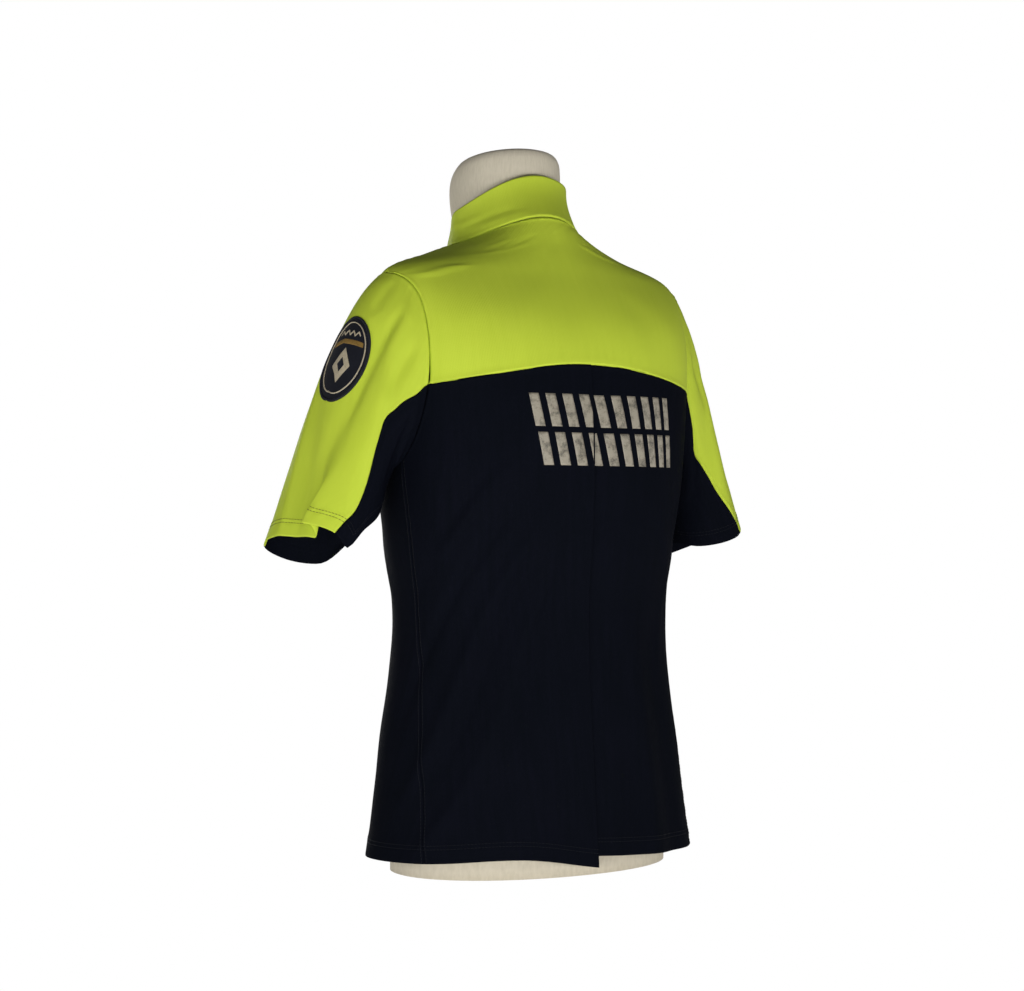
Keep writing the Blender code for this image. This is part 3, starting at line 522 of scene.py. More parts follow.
def back_columns(edge_turn, level, shares):
    """Turn, height and side (+1 left, -1 right) of each column of the back panel."""
    depth, folded = pleat_columns(level)
    left_end = turn_at(depth + LAYER_PITCH, level)
    right_end = turn_at(-PLEAT_RETURN_WIDTH, level)
    columns = [(mix(edge_turn, left_end, share), 0.0, 1.0) for share in shares]
    for index, (distance, height) in enumerate(folded):
        side = 1.0 - 2.0 * smooth_step((index - 5) / (2 * FOLD_STEPS + 4))
        columns.append((turn_at(distance, level), height, side))
    for share in reversed(shares):
        columns.append((mix(180.0 - edge_turn, right_end, share), 0.0, -1.0))
    return columns


def level_across(turn, edge_turn, edge_level, middle_level):
    """Level along a row of the back panel, which bows like the yoke seam."""
    share = abs(math.cos(math.radians(turn))) / math.cos(math.radians(edge_turn))
    return mix(middle_level, edge_level, min(share, 1.0) ** YOKE_BOW)


def hem_shift(turn, side, share_up):
    """How far the hem line lies above its ring, fading out upwards."""
    left = read_row(HEM_LEFT, turn)[0]
    right = read_row(HEM_RIGHT, turn)[0]
    return mix(right, left, (side + 1.0) / 2) * (1.0 - share_up) ** 2


def lengths_from(line):
    """Distance from the first point of a line to each of its points."""
    total = [0.0]
    for near, far in zip(line, line[1:]):
        total.append(total[-1] + (far - near).length)
    return total


def grid_outwards(points, row, column):
    """Direction across a grid of points at one of them."""
    last_row, last_column = len(points) - 1, len(points[0]) - 1
    along = points[row][min(column + 1, last_column)] - points[row][max(column - 1, 0)]
    up = points[min(row + 1, last_row)][column] - points[max(row - 1, 0)][column]
    return along.cross(up).normalized()


# How cloth lies at its edges: a seam allowance makes a low rounded ridge beside the seam, which
# puckers a little, and a hem is double up to its stitches, which pull it in.
SEAM_RIDGE = 0.00055
SEAM_RIDGE_AT = 0.0024
PUCKER = 0.00030
PUCKER_LENGTH = 0.013
RIPPLE = 0.0006           # the slow unevenness of hanging cloth
RIPPLE_SIZE = 0.055


def edge_relief(edge, distance, along):
    """Height that one edge adds to the cloth at a distance from it."""
    pucker = math.sin(along / PUCKER_LENGTH * 2.0 * math.pi + 2.0 * math.sin(along * 60.0))
    if edge == "hem":
        height = 0.00045 * smooth_step((HEM_DEPTH + 0.0012 - distance) / 0.0016)
        for stitched in HEM_STITCHES:
            height -= 0.00035 * math.exp(-((distance - stitched) / 0.0010) ** 2)
        middle = sum(HEM_STITCHES) / 2
        return height + PUCKER * pucker * math.exp(-((distance - middle) / 0.006) ** 2)
    height = SEAM_RIDGE * math.exp(-((distance - SEAM_RIDGE_AT) / 0.0015) ** 2)
    height -= SEAM_RIDGE * math.exp(-(distance / 0.0009) ** 2)
    return height + PUCKER * pucker * smooth_step(distance / 0.003) * math.exp(-distance / 0.010)


def finish_cloth(points, edges, outwards):
    """Draw the seam edges in and add the relief of seams and hems.

    The edges are bottom, top, first and last.
    """
    last_row, last_column = len(points) - 1, len(points[0]) - 1
    across = [lengths_from(line) for line in points]
    upward = [lengths_from([line[column] for line in points]) for column in range(last_column + 1)]
    finished = []
    for row, line in enumerate(points):
        new_line = []
        for column, point in enumerate(line):
            to_edge = {"bottom": upward[column][row],
                       "top": upward[column][-1] - upward[column][row],
                       "first": across[row][column],
                       "last": across[row][-1] - across[row][column]}
            height = RIPPLE * noise.noise(point / RIPPLE_SIZE)
            for side, edge in edges.items():
                along = across[row][column] if side in ("bottom", "top") else upward[column][row]
                height += edge_relief(edge, to_edge[side], along) if edge else 0.0
            normal = grid_outwards(points, row, column) * outwards
            new_line.append(point + normal * height)
        finished.append(new_line)
    for side, edge in edges.items():
        if edge != "seam":
            continue
        if side in ("bottom", "top"):
            edge_row, next_row = (0, 1) if side == "bottom" else (last_row, last_row - 1)
            for column in range(last_column + 1):
                step = (finished[next_row][column] - finished[edge_row][column]).normalized()
                finished[edge_row][column] += step * SEAM_GAP / 2
        else:
            edge_column, next_column = (0, 1) if side == "first" else (last_column, last_column - 1)
            for line in finished:
                step = (line[next_column] - line[edge_column]).normalized()
                line[edge_column] += step * SEAM_GAP / 2
    return finished


def cloth_piece(name, points, material, node, outwards, thickness=CLOTH):
    """A thin wall of cloth about a grid of points, with its length and width in metres as UV."""
    rows, columns = len(points) - 1, len(points[0]) - 1
    across = [lengths_from(line) for line in points]
    middle = columns // 2
    upward = lengths_from([line[middle] for line in points])
    shape = bmesh.new()
    bmesh.ops.create_grid(shape, x_segments=columns, y_segments=rows, size=0.5)
    threads = shape.loops.layers.uv.new("threads")
    places = {}
    for vertex in shape.verts:
        column = round((vertex.co.x + 0.5) * columns)
        row = round((vertex.co.y + 0.5) * rows)
        vertex.co = points[row][column]
        places[vertex] = (across[row][column] - across[row][middle], upward[row])
    for face in shape.faces:
        for loop in face.loops:
            loop[threads].uv = places[loop.vert]
    if outwards < 0.0:
        bmesh.ops.reverse_faces(shape, faces=shape.faces)
    piece = make_piece(name, shape, material, node)
    wall = piece.modifiers.new("Thickness", "SOLIDIFY")
    wall.thickness = thickness
    wall.offset = 0.0
    return piece


# Interlock knit in polyester: a smooth face of small V stitches in upright wales, with a soft
# sheen. Its wales are drawn 1.7 mm apart, because the real 0.7 mm is too fine to show.
WALE = 0.0017
COURSE = 0.0013


def knit_material(name, shade, tone, sheen, sheen_tint, roughness, specular, depth):
    """Knit of one yarn colour, painted shade in its stitches, dye and painted sheen in patches."""
    material, tree, output = new_material(name)
    threads = add_node(tree, "ShaderNodeUVMap", {}, uv_map="threads")
    split = add_node(tree, "ShaderNodeSeparateXYZ", {"Vector": threads.outputs["UV"]})
    wale = add_node(tree, "ShaderNodeMath", {0: split.outputs["X"], 1: WALE}, operation="DIVIDE")
    course = add_node(tree, "ShaderNodeMath", {
        0: split.outputs["Y"], 1: COURSE}, operation="DIVIDE")
    within = add_node(tree, "ShaderNodeMath", {0: wale.outputs["Value"]}, operation="FRACT")
    centred = add_node(tree, "ShaderNodeMath", {
        0: within.outputs["Value"], 1: 0.5}, operation="SUBTRACT")
    arm = add_node(tree, "ShaderNodeMath", {0: centred.outputs["Value"]}, operation="ABSOLUTE")
    slanted = add_node(tree, "ShaderNodeMath", {
        0: arm.outputs["Value"], 1: 1.4, 2: course.outputs["Value"]}, operation="MULTIPLY_ADD")
    turned_by = add_node(tree, "ShaderNodeMath", {
        0: slanted.outputs["Value"], 1: 2.0 * math.pi}, operation="MULTIPLY")
    loops = add_node(tree, "ShaderNodeMath", {0: turned_by.outputs["Value"]}, operation="SINE")
    valley = add_node(tree, "ShaderNodeMath", {
        0: arm.outputs["Value"], 1: -1.6, 2: 0.4}, operation="MULTIPLY_ADD")
    height = add_node(tree, "ShaderNodeMath", {
        0: loops.outputs["Value"], 1: 0.35, 2: valley.outputs["Value"]}, operation="MULTIPLY_ADD")
    cloudy = add_node(tree, "ShaderNodeTexNoise", {
        "Vector": threads.outputs["UV"], "Scale": 9.0, "Detail": 3.0, "Roughness": 0.55})
    stretch = add_node(tree, "ShaderNodeMapping", {
        "Vector": threads.outputs["UV"], "Scale": (180.0, 14.0, 1.0)})
    streaks = add_node(tree, "ShaderNodeTexNoise", {
        "Vector": stretch.outputs["Vector"], "Scale": 1.0, "Detail": 2.0})
    uneven = add_node(tree, "ShaderNodeMath", {
        0: cloudy.outputs["Fac"], 1: streaks.outputs["Fac"]}, operation="MULTIPLY")
    # Painted shade: darker where the stitch relief is low; patches: uneven dye and painted sheen.
    lit = add_node(tree, "ShaderNodeMath", {
        0: height.outputs["Value"], 1: 0.10, 2: uneven.outputs["Value"]}, operation="MULTIPLY_ADD")
    tint = add_node(tree, "ShaderNodeValToRGB", {"Fac": lit.outputs["Value"]})
    tint.color_ramp.elements[0].color = colour(tone)
    tint.color_ramp.elements[0].position = 0.08
    tint.color_ramp.elements[1].color = colour(shade)
    tint.color_ramp.elements[1].position = 0.42
    relief = add_node(tree, "ShaderNodeBump", {
        "Height": height.outputs["Value"], "Strength": 0.35, "Distance": depth})
    surface = add_node(tree, "ShaderNodeBsdfPrincipled", {
        "Base Color": tint.outputs["Color"], "Roughness": roughness, "Sheen Weight": sheen,
        "Sheen Roughness": 0.45, "Sheen Tint": colour(sheen_tint),
        "Specular IOR Level": specular, "Normal": relief.outputs["Normal"]})
    tree.links.new(surface.outputs["BSDF"], output.inputs["Surface"])
    return material


navy_knit = knit_material("navy_black_interlock_knit", "0D0F18", "0A0D14",
                          0.0, "2A2F3C", 0.78, 0.02, 0.00022)

arm_share_back = 0.14     # part of the panel's rows that lie along the armhole
row_shares = stations(0.49, 0.026, 0.008)
column_shares = stations(0.21, 0.010, 0.0, coarse=0.0042)
points = []
for share in row_shares:
    edge_turn, edge_level = panel_edge(share, YOKE_CLOCK, arm_share_back)
    middle_level = YOKE_LEVEL_MIDDLE * share
    line = []
    for turn, height, side in back_columns(edge_turn, middle_level, column_shares):
        level = level_across(turn, edge_turn, edge_level, middle_level)
        point = trunk_cloth(turn, level, height)
        point.z += hem_shift(turn, side, share)
        line.append(point)
    points.append(line)
panel_edges = {"bottom": "hem", "top": "seam", "first": "seam", "last": "seam"}
back_grid = finish_cloth(points, panel_edges, 1.0)
back_cloth = cloth_piece("back_panel_cloth", back_grid, navy_knit, "back_panel", 1.0)

# ---------------------------------------------------------------- reflective bars
# Slanted bars of silver transfer film in two staggered rows, pressed onto the back panel. The
# pleat cuts through the bars that lie across it, and washing has rubbed them.
FILM_LIFT = 0.00016
BAR_WIDTH = 0.0125
BAR_GAP = 0.0085
BAR_SLANT = 0.22          # sideways over upwards
BAR_COUNT = 10
BAR_ROWS = [
    # low   high   left edge of the first bar, from the centre back
    (0.4745, 0.5090, 0.0770),
    (0.4340, 0.4685, 0.0665),
]
PLEAT_EDGES = (0.0012, -0.0024)   # where the film ends left and right of the fold


def on_back(distance, height, lift):
    """A place over the back panel, at a distance left of the centre back."""
    low, high = UNDERARM, CHEST
    for halving in range(16):
        middle = (low + high) / 2
        if read_row(TRUNK_RINGS, middle)[0] < height:
            low = middle
        else:
            high = middle
    sunk = 0.0
    if distance < 0.0:
        sunk = -2.0 * LAYER_PITCH * (1.0 - smooth_step(-distance / PLEAT_RETURN_WIDTH))
    turn = turn_at(distance, low)
    point = trunk_cloth(turn, low, sunk)
    ripple = RIPPLE * noise.noise(point / RIPPLE_SIZE)
    return point + trunk_outwards(turn, low) * (ripple + CLOTH / 2 + lift)


bars = bmesh.new()
threads = bars.loops.layers.uv.new("threads")
for low, high, first_edge in BAR_ROWS:
    for number in range(BAR_COUNT):
        left_edge = first_edge - number * (BAR_WIDTH + BAR_GAP)
        for side in ("left", "right"):
            if side == "left" and left_edge < -0.002 or side == "right" and left_edge > 0.018:
                continue
            made = bmesh.ops.create_grid(bars, x_segments=6, y_segments=14, size=0.5)
            for vertex in made["verts"]:
                height = mix(low, high, vertex.co.y + 0.5)
                lean = BAR_SLANT * (height - (low + high) / 2)
                ends = [left_edge + lean, left_edge + lean - BAR_WIDTH]
                if side == "left":
                    ends = [max(end, PLEAT_EDGES[0]) for end in ends]
                else:
                    ends = [min(end, PLEAT_EDGES[1]) for end in ends]
                vertex.co = on_back(mix(ends[0], ends[1], vertex.co.x + 0.5), height, FILM_LIFT)
bmesh.ops.remove_doubles(bars, verts=bars.verts, dist=0.00002)
bmesh.ops.recalc_face_normals(bars, faces=bars.faces)
inward = [face for face in bars.faces if face.normal.y < 0.0]
bmesh.ops.reverse_faces(bars, faces=inward)
for face in bars.faces:
    for loop in face.loops:
        loop[threads].uv = (loop.vert.co.x, loop.vert.co.z)

# Glass-bead transfer film: matt silver grey in this light, with fine cracks and rubbed spots.
film, tree, output = new_material("silver_glass_bead_transfer_film")
place = add_node(tree, "ShaderNodeUVMap", {}, uv_map="threads")
rubbing = add_node(tree, "ShaderNodeTexNoise", {
    "Vector": place.outputs["UV"], "Scale": 95.0, "Detail": 5.0, "Roughness": 0.65})
cracks = add_node(tree, "ShaderNodeTexVoronoi", {
    "Vector": place.outputs["UV"], "Scale": 420.0}, feature="DISTANCE_TO_EDGE")
crack_line = add_node(tree, "ShaderNodeMapRange", {
    "Value": cracks.outputs["Distance"], "From Min": 0.0, "From Max": 0.09,
    "To Min": -0.10, "To Max": 0.0})
worn = add_node(tree, "ShaderNodeMath", {
    0: rubbing.outputs["Fac"], 1: crack_line.outputs["Result"]}, operation="ADD")
tint = add_node(tree, "ShaderNodeValToRGB", {"Fac": worn.outputs["Value"]})
tint.color_ramp.elements[0].color = colour("4A463D")
tint.color_ramp.elements[0].position = 0.27
tint.color_ramp.elements[1].color = colour("A29A89")
tint.color_ramp.elements[1].position = 0.52
relief = add_node(tree, "ShaderNodeBump", {
    "Height": worn.outputs["Value"], "Strength": 0.25, "Distance": 0.0002})
surface = add_node(tree, "ShaderNodeBsdfPrincipled", {
    "Base Color": tint.outputs["Color"], "Roughness": 0.48, "Specular IOR Level": 0.5,
    "Normal": relief.outputs["Normal"]})
tree.links.new(surface.outputs["BSDF"], output.inputs["Surface"])
reflective_bars = make_piece("reflective_bars", bars, film)
wall = reflective_bars.modifiers.new("Thickness", "SOLIDIFY")
wall.thickness = 0.00012
wall.offset = 0.0


# ---------------------------------------------------------------- back yoke
# One piece of lime interlock across both shoulders. Its lower edge bows up between the armholes,
# and a row of stitches runs below its seam with the collar.
lime_knit = knit_material("fluorescent_lime_interlock_knit", "CBDE43", "C7DB3F",
                          0.03, "F4FFB0", 0.60, 0.16, 0.00020)
YOKE_FOLDS = [
    # turn_a level_a turn_b level_b depth   width
    (13.0, 6.80, 22.0, 7.10, 0.0017, 3.5),      # small tuck behind the shoulder point
    (30.0, 7.95, 42.0, 8.20, 0.0007, 3.0),      # small creases under the collar
    (34.0, 7.75, 48.0, 8.00, 0.0006, 3.0),
    (24.0, 7.55, 52.0, 7.90, 0.0006, 6.0),
    (34.0, 7.70, 62.0, 8.15, -0.0005, 6.0),
    (150.0, 7.55, 128.0, 7.95, 0.0011, 6.0),
    (97.0, 8.60, 84.0, 6.40, -0.0011, 10.0),     # hollow down the spine
    (60.0, 6.90, 50.0, 5.60, 0.0010, 8.0),
    (128.0, 6.80, 136.0, 5.50, -0.0010, 8.0),
    (40.0, 6.30, 34.0, 5.20, -0.0012, 5.0),
]
arm_part = 0.55           # part of the yoke's rows that lie along the armhole


def yoke_edge(share, side):
    """Turn and level up the armhole from the yoke seam, then in along the shoulder seam."""
    if share <= arm_part:
        return armhole_place(side * mix(YOKE_CLOCK, 0.0, share / arm_part))
    return 0.0, mix(SHOULDER, NECK, (share - arm_part) / (1.0 - arm_part))


points = []
seam_turn = armhole_place(YOKE_CLOCK)[0]
row_shares = stations(0.215, 0.008, 0.010, coarse=0.0040)
column_shares = stations(0.33, 0.010, 0.010, coarse=0.0040)
for share in row_shares:
    edge_turn, edge_level = yoke_edge(share, 1.0)
    middle = mix(yoke_level(90.0), NECK, share)
    line = []
    for across in column_shares:
        turn = mix(edge_turn, 180.0 - edge_turn, across)
        rim = min(across, 1.0 - across) * 2.0
        level = mix(edge_level, middle, 1.0 - (1.0 - rim) ** 2)
        foot_turn = mix(seam_turn, 180.0 - seam_turn, across)
        level = mix(yoke_level(foot_turn), level, smooth_step(share / 0.12))
        out = fold_height(YOKE_FOLDS, turn, level, 360.0)
        line.append(trunk_cloth(turn, level, out))
    points.append(line)
yoke_edges = {"bottom": "seam", "top": "seam", "first": "seam", "last": "seam"}
yoke_grid = finish_cloth(points, yoke_edges, 1.0)
yoke_cloth = cloth_piece("back_yoke_cloth", yoke_grid, lime_knit, "back_yoke", 1.0)


# ---------------------------------------------------------------- front panel
# One piece of navy interlock from the front yoke seam to the hem, over the chest of the form.
arm_share_front = 0.27
points = []
for share in stations(0.49, 0.026, 0.008):
    edge_turn, edge_level = panel_edge(share, 360.0 - YOKE_CLOCK, arm_share_front)
    middle_level = YOKE_LEVEL_MIDDLE * share
    line = []
    for across in stations(0.47, 0.010, 0.010):
        turn = mix(-180.0 - edge_turn, edge_turn, across)
        level = mix(middle_level, edge_level, abs(2.0 * across - 1.0) ** 2)
        level = mix(level, yoke_level(turn), smooth_step((share - 0.94) / 0.06))
        point = trunk_cloth(turn, level)
        if turn > -90.0:
            point.z += hem_shift(turn, 1.0, share)
        else:
            point.z += hem_shift(turn + 360.0, -1.0, share)
        line.append(point)
    points.append(line)
front_grid = finish_cloth(points, panel_edges, 1.0)
front_cloth = cloth_piece("front_panel_cloth", front_grid, navy_knit,
                          "front_panel", 1.0)


# ---------------------------------------------------------------- front yokes
# Two pieces of lime interlock, left and right of the neck opening, from the armhole and the
# shoulder seam to the centre front, where the slit of the placket opens upwards.
SLIT_LEVEL = 6.35
SLIT_CLOSED_TURN = 0.23
SLIT_CURVE = 1.3
SLIT_TOP_TURN = -62.0


def slit_turn(level):
    """Turn of the front slit's edge at a level: it opens upwards."""
    share = min(max((level - SLIT_LEVEL) / (NECK - SLIT_LEVEL), 0.0), 1.0)
    return mix(-90.0 + SLIT_CLOSED_TURN, SLIT_TOP_TURN, share ** SLIT_CURVE)


def mirrored(points):
    """The same grid on the other side of the body."""
    return [[Vector((-point.x, point.y, point.z)) for point in line] for line in points]


FRONT_YOKE_FOLDS = [
    # turn_a level_a turn_b level_b depth   width
    (-20.0, 7.60, -42.0, 6.20, 0.0014, 6.0),
    (-34.0, 7.40, -62.0, 6.00, -0.0012, 6.0),
    (-12.0, 6.80, -28.0, 5.70, 0.0012, 5.0),
]
points = []
for share in stations(0.20, 0.008, 0.008, coarse=0.0042):
    edge_turn, edge_level = yoke_edge(share, -1.0)
    middle = mix(yoke_level(-90.0), NECK, share)
    line = []
    for across in stations(0.155, 0.004, 0.010, coarse=0.0042):
        level = mix(middle, edge_level, across ** 2)
        turn = mix(slit_turn(level), edge_turn, across)
        foot_turn = mix(-90.0 + SLIT_CLOSED_TURN, armhole_place(-YOKE_CLOCK)[0], across)
        level = mix(yoke_level(foot_turn), level, smooth_step(share / 0.12))
        turn = mix(foot_turn, turn, smooth_step(share / 0.12))
        out = fold_height(FRONT_YOKE_FOLDS, turn, level, 360.0)
        line.append(trunk_cloth(turn, level, out))
    points.append(line)
front_yoke_edges = {"bottom": "seam", "top": "seam", "first": None, "last": "seam"}
front_yoke_grid = finish_cloth(points, front_yoke_edges, 1.0)
for side, grid, outwards in (("left", front_yoke_grid, 1.0),
                             ("right", mirrored(front_yoke_grid), -1.0)):
    piece = cloth_piece("front_yoke_cloth_" + side, grid, lime_knit,
                        "front_yoke_" + side, outwards)


# ---------------------------------------------------------------- sleeves
# Each short sleeve is a lime upper piece over the cap and the outer side and a navy piece under the
# arm. The left hem is hitched up at the back, so it buckles into a fold that laps over itself.
SLEEVE_CENTRE = Vector((0.2450, -0.0270, 0.348))
SLEEVE_TWIST = math.radians(15.0)
SLEEVE_HALF_WIDTH = 0.069
SLEEVE_HALF_DEPTH = 0.048
SLEEVE_OUT_RISE = 0.30
SLEEVE_BACK_RISE = 0.25
SLEEVE_SQUARE = 2.2
SLEEVE_AXIS = Vector((0.33, 0.03, -0.94)).normalized()
HITCH_CLOCK = 138.0
HITCH_WIDTH = 42.0
HITCH_RISE = {"left": 0.040, "right": 0.010}
SLEEVE_START = [
    # clock out   back   up     start_reach end_reach
    (0.0, 0.84, -0.12, -0.52, 0.045, 0.150),
    (45.0, 0.70, -0.12, -0.66, 0.040, 0.125),
    (90.0, 0.62, -0.05, -0.76, 0.045, 0.075),
    (140.0, 0.80, 0.10, -0.40, 0.030, 0.040),
    (180.0, 0.95, 0.00, -0.10, 0.022, 0.035),
    (220.0, 0.80, -0.35, -0.40, 0.032, 0.040),
    (270.0, 0.66, -0.40, -0.62, 0.055, 0.080),
    (315.0, 0.78, -0.36, -0.55, 0.055, 0.125),
    (360.0, 0.84, -0.12, -0.52, 0.045, 0.150),
]
COLOUR_SEAM = {
    "left": [
        # reach back_clock front_clock
        (0.00, 105.5, 254.5),
        (0.20, 99.5, 264.0),
        (0.46, 80.0, 276.0),
        (0.60, 69.0, 283.0),
        (0.70, 69.0, 288.0),
        (0.82, 68.0, 293.0),
        (0.94, 57.0, 299.0),
        (1.00, 52.0, 302.0),
    ],
    "right": [
        (0.00, 105.5, 254.5),
        (0.12, 115.0, 257.0),
        (0.30, 121.0, 261.0),
        (0.45, 113.0, 266.0),
        (0.58, 100.0, 272.0),
        (0.72, 86.0, 279.0),
        (0.82, 74.0, 285.0),
        (1.00, 45.0, 298.0),
    ],
}
SLEEVE_FOLDS = [
    # clock_a reach_a clock_b reach_b depth   width (clock degrees)
    (36.0, 0.22, 30.0, 0.72, -0.0035, 11.0),
    (-20.0, 0.50, 8.0, 1.00, -0.0030, 10.0),
    (62.0, 0.30, 58.0, 0.90, 0.0030, 12.0),
    (-55.0, 0.20, -50.0, 0.85, -0.0030, 14.0),
    (76.0, 0.10, 66.0, 0.42, -0.0028, 7.0),      # trough above the colour seam
    (52.0, 0.04, 50.0, 0.34, 0.0020, 8.0),
    (48.0, 0.10, 34.0, 0.60, -0.0030, 5.0),
    (22.0, 0.02, 20.0, 0.24, -0.0016, 6.0),
    (-30.0, 0.30, -14.0, 0.95, 0.0016, 6.0),
    (120.0, 0.10, 112.0, 0.70, -0.0030, 12.0),
    (150.0, 0.05, 146.0, 0.60, 0.0025, 10.0),
    (196.0, 0.05, 204.0, 0.70, -0.0025, 12.0),
    (236.0, 0.10, 246.0, 0.80, 0.0025, 12.0),
    (268.0, 0.10, 276.0, 0.60, -0.0020, 10.0),
]
# The buckle: cloth laps over itself along a line that runs up the sleeve from the hem.
BUCKLE_LINE = [(0.30, 30.0), (0.55, 28.0), (0.78, 27.0), (1.00, 25.0)]   # reach, clock
BUCKLE_WIDTH = 14.0
BUCKLE_TURN = 2.3         # over 1 the cloth turns back on itself
BUCKLE_START = 0.83       # reach from which the layers overlap more and more
BUCKLE_STEP = 0.0042
BUCKLE_SHARE = {"left": 1.0, "right": 0.0}
SLEEVE_HEM = {
    # clock  how far the hem lies above its ring
    "left": [
        (-140.0, 0.000), (-70.0, 0.000), (-35.0, -0.001), (-8.0, -0.004), (8.0, -0.008),
        (15.0, -0.0105), (19.0, -0.0085), (24.0, 0.0015), (30.0, 0.0040), (36.0, 0.0025),
        (42.0, 0.000),
        (54.0, -0.009), (63.0, -0.021), (72.0, -0.013), (84.0, -0.003), (104.0, 0.000),
        (130.0, 0.000), (160.0, 0.011), (186.0, 0.012), (214.0, 0.001), (220.0, 0.000),
    ],
    "right": [
        (-140.0, 0.000), (20.0, 0.000), (40.0, -0.005), (60.0, -0.0105), (90.0, -0.0125),
        (118.0, -0.011), (140.0, -0.002), (160.0, 0.003), (200.0, 0.000), (220.0, 0.000),
    ],
}

armhole_loop = [trunk_cloth(*armhole_place(step * 2.0)) for step in range(181)]


def sleeve_place(clock, reach, side):
    """A point of the left sleeve, or of the right one before it is mirrored, without folds."""
    clock = clock % 360.0
    out, back, up, start_reach, end_reach = read_row(SLEEVE_START, clock)
    direction = Vector((out, back, up)).normalized()
    index = min(int(clock / 2.0), 179)
    start = armhole_loop[index].lerp(armhole_loop[index + 1], clock / 2.0 - index)
    start = start + direction * (SEAM_GAP + CLOTH * 0.5 * math.sin(math.radians(clock) / 2) ** 2)
    angle = math.radians(clock)
    radius = ring_radius(math.cos(angle), math.sin(angle), 1.0, 1.0, SLEEVE_SQUARE)
    along = SLEEVE_HALF_DEPTH * radius * math.cos(angle)
    across = SLEEVE_HALF_WIDTH * radius * math.sin(angle)
    offset = Vector((along * math.cos(SLEEVE_TWIST) - across * math.sin(SLEEVE_TWIST),
                     along * math.sin(SLEEVE_TWIST) + across * math.cos(SLEEVE_TWIST), 0.0))
    offset.z = SLEEVE_OUT_RISE * offset.x + SLEEVE_BACK_RISE * offset.y
    offset.z += HITCH_RISE[side] * math.exp(-((clock - HITCH_CLOCK) / HITCH_WIDTH) ** 2)
    end = SLEEVE_CENTRE + offset
    first = start + direction * start_reach
    second = end - SLEEVE_AXIS * end_reach
    rest = 1.0 - reach
    return (start * rest ** 3 + first * (3 * rest ** 2 * reach)
            + second * (3 * rest * reach ** 2) + end * reach ** 3)


def sleeve_cloth(clock, reach, side, lift=0.0):
    """A point of a sleeve's middle surface, with its folds and the buckle at the left hem."""
    own_clock = clock
    near = (clock - read_row(BUCKLE_LINE, reach)[0] + 180.0) % 360.0 - 180.0
    near /= BUCKLE_WIDTH
    grown = smooth_step((reach - BUCKLE_START) / (1.0 - BUCKLE_START)) * BUCKLE_SHARE[side]
    started = smooth_step((reach - 0.25) / 0.75) * BUCKLE_SHARE[side]
    fading = math.exp(-near * near)
    clock -= BUCKLE_WIDTH * BUCKLE_TURN * grown * near * fading
    out = lift + fold_height(SLEEVE_FOLDS, clock, reach, 360.0) * smooth_step(reach * 6.0)
    out += BUCKLE_STEP * started * math.tanh(near / 0.45) * math.exp(-(near / 3.0) ** 2)
    point = sleeve_place(clock, reach, side)
    round_it = sleeve_place(clock + 2.0, reach, side) - sleeve_place(clock - 2.0, reach, side)
    down = sleeve_place(clock, min(reach + 0.03, 1.0), side)
    down = down - sleeve_place(clock, max(reach - 0.03, 0.0), side)
    point = point + down.cross(round_it).normalized() * out
    own_clock = (own_clock + 140.0) % 360.0 - 140.0
    point.z += read_row(SLEEVE_HEM[side], own_clock)[0] * smooth_step((reach - 0.70) / 0.30)
    return point


def sleeve_grid(side, from_clock, to_clock, row_shares, column_shares):
    """Points of a sleeve piece between two clock angles that change with reach."""
    points = []
    for reach in row_shares:
        start, end = from_clock(reach), to_clock(reach)
        points.append([sleeve_cloth(mix(start, end, share), reach, side)
                       for share in column_shares])
    return points


row_shares = [1.0 - share for share in reversed(stations(0.25, 0.026, 0.008, coarse=0.0042))]
upper_columns = stations(0.20, 0.008, 0.008, coarse=0.0016)
under_columns = stations(0.19, 0.008, 0.008, coarse=0.0042)
sleeve_edges = {"bottom": "seam", "top": "hem", "first": "seam", "last": "seam"}
sleeve_grids = {}
for side in ("left", "right"):
    seam = COLOUR_SEAM[side]
    upper = sleeve_grid(side, lambda reach: read_row(seam, reach)[1] - 360.0,
                        lambda reach: read_row(seam, reach)[0], row_shares, upper_columns)
    under = sleeve_grid(side, lambda reach: read_row(seam, reach)[0],
                        lambda reach: read_row(seam, reach)[1], row_shares, under_columns)
    upper = finish_cloth(upper, sleeve_edges, -1.0)
    under = finish_cloth(under, sleeve_edges, -1.0)
    outwards = -1.0
    if side == "right":
        upper, under = mirrored(upper), mirrored(under)
        outwards = 1.0
    sleeve_grids[side] = (upper, under, outwards)
    piece = cloth_piece("sleeve_upper_cloth_" + side, upper, lime_knit,
                        "sleeve_upper_" + side, outwards)
    piece = cloth_piece("sleeve_under_cloth_" + side, under, navy_knit,
                        "sleeve_under_" + side, outwards)


# ---------------------------------------------------------------- armhole seam allowances
# Inside each armhole the raw edges of body and sleeve are overlocked together and lie towards the
# body, as a narrow navy band under the seam.
ALLOWANCE_SHARES = (0.960, 1.000, 1.040, 1.085)   # of the armhole's own size
ALLOWANCE_DEPTH = 0.0017  # under the middle of the cloth
points = []
for share in ALLOWANCE_SHARES:
    line = []
    for step in range(121):
        turn, level = armhole_place(step * 3.0)
        middle = (UNDERARM + SHOULDER) / 2
        line.append(trunk_cloth(turn * share, mix(middle, level, share), -ALLOWANCE_DEPTH))
    points.append(line)
for side, grid, outwards in (("left", points, 1.0), ("right", mirrored(points), -1.0)):
    piece = cloth_piece("armhole_allowance_" + side, grid, navy_knit, None,
                        outwards, 0.0006)


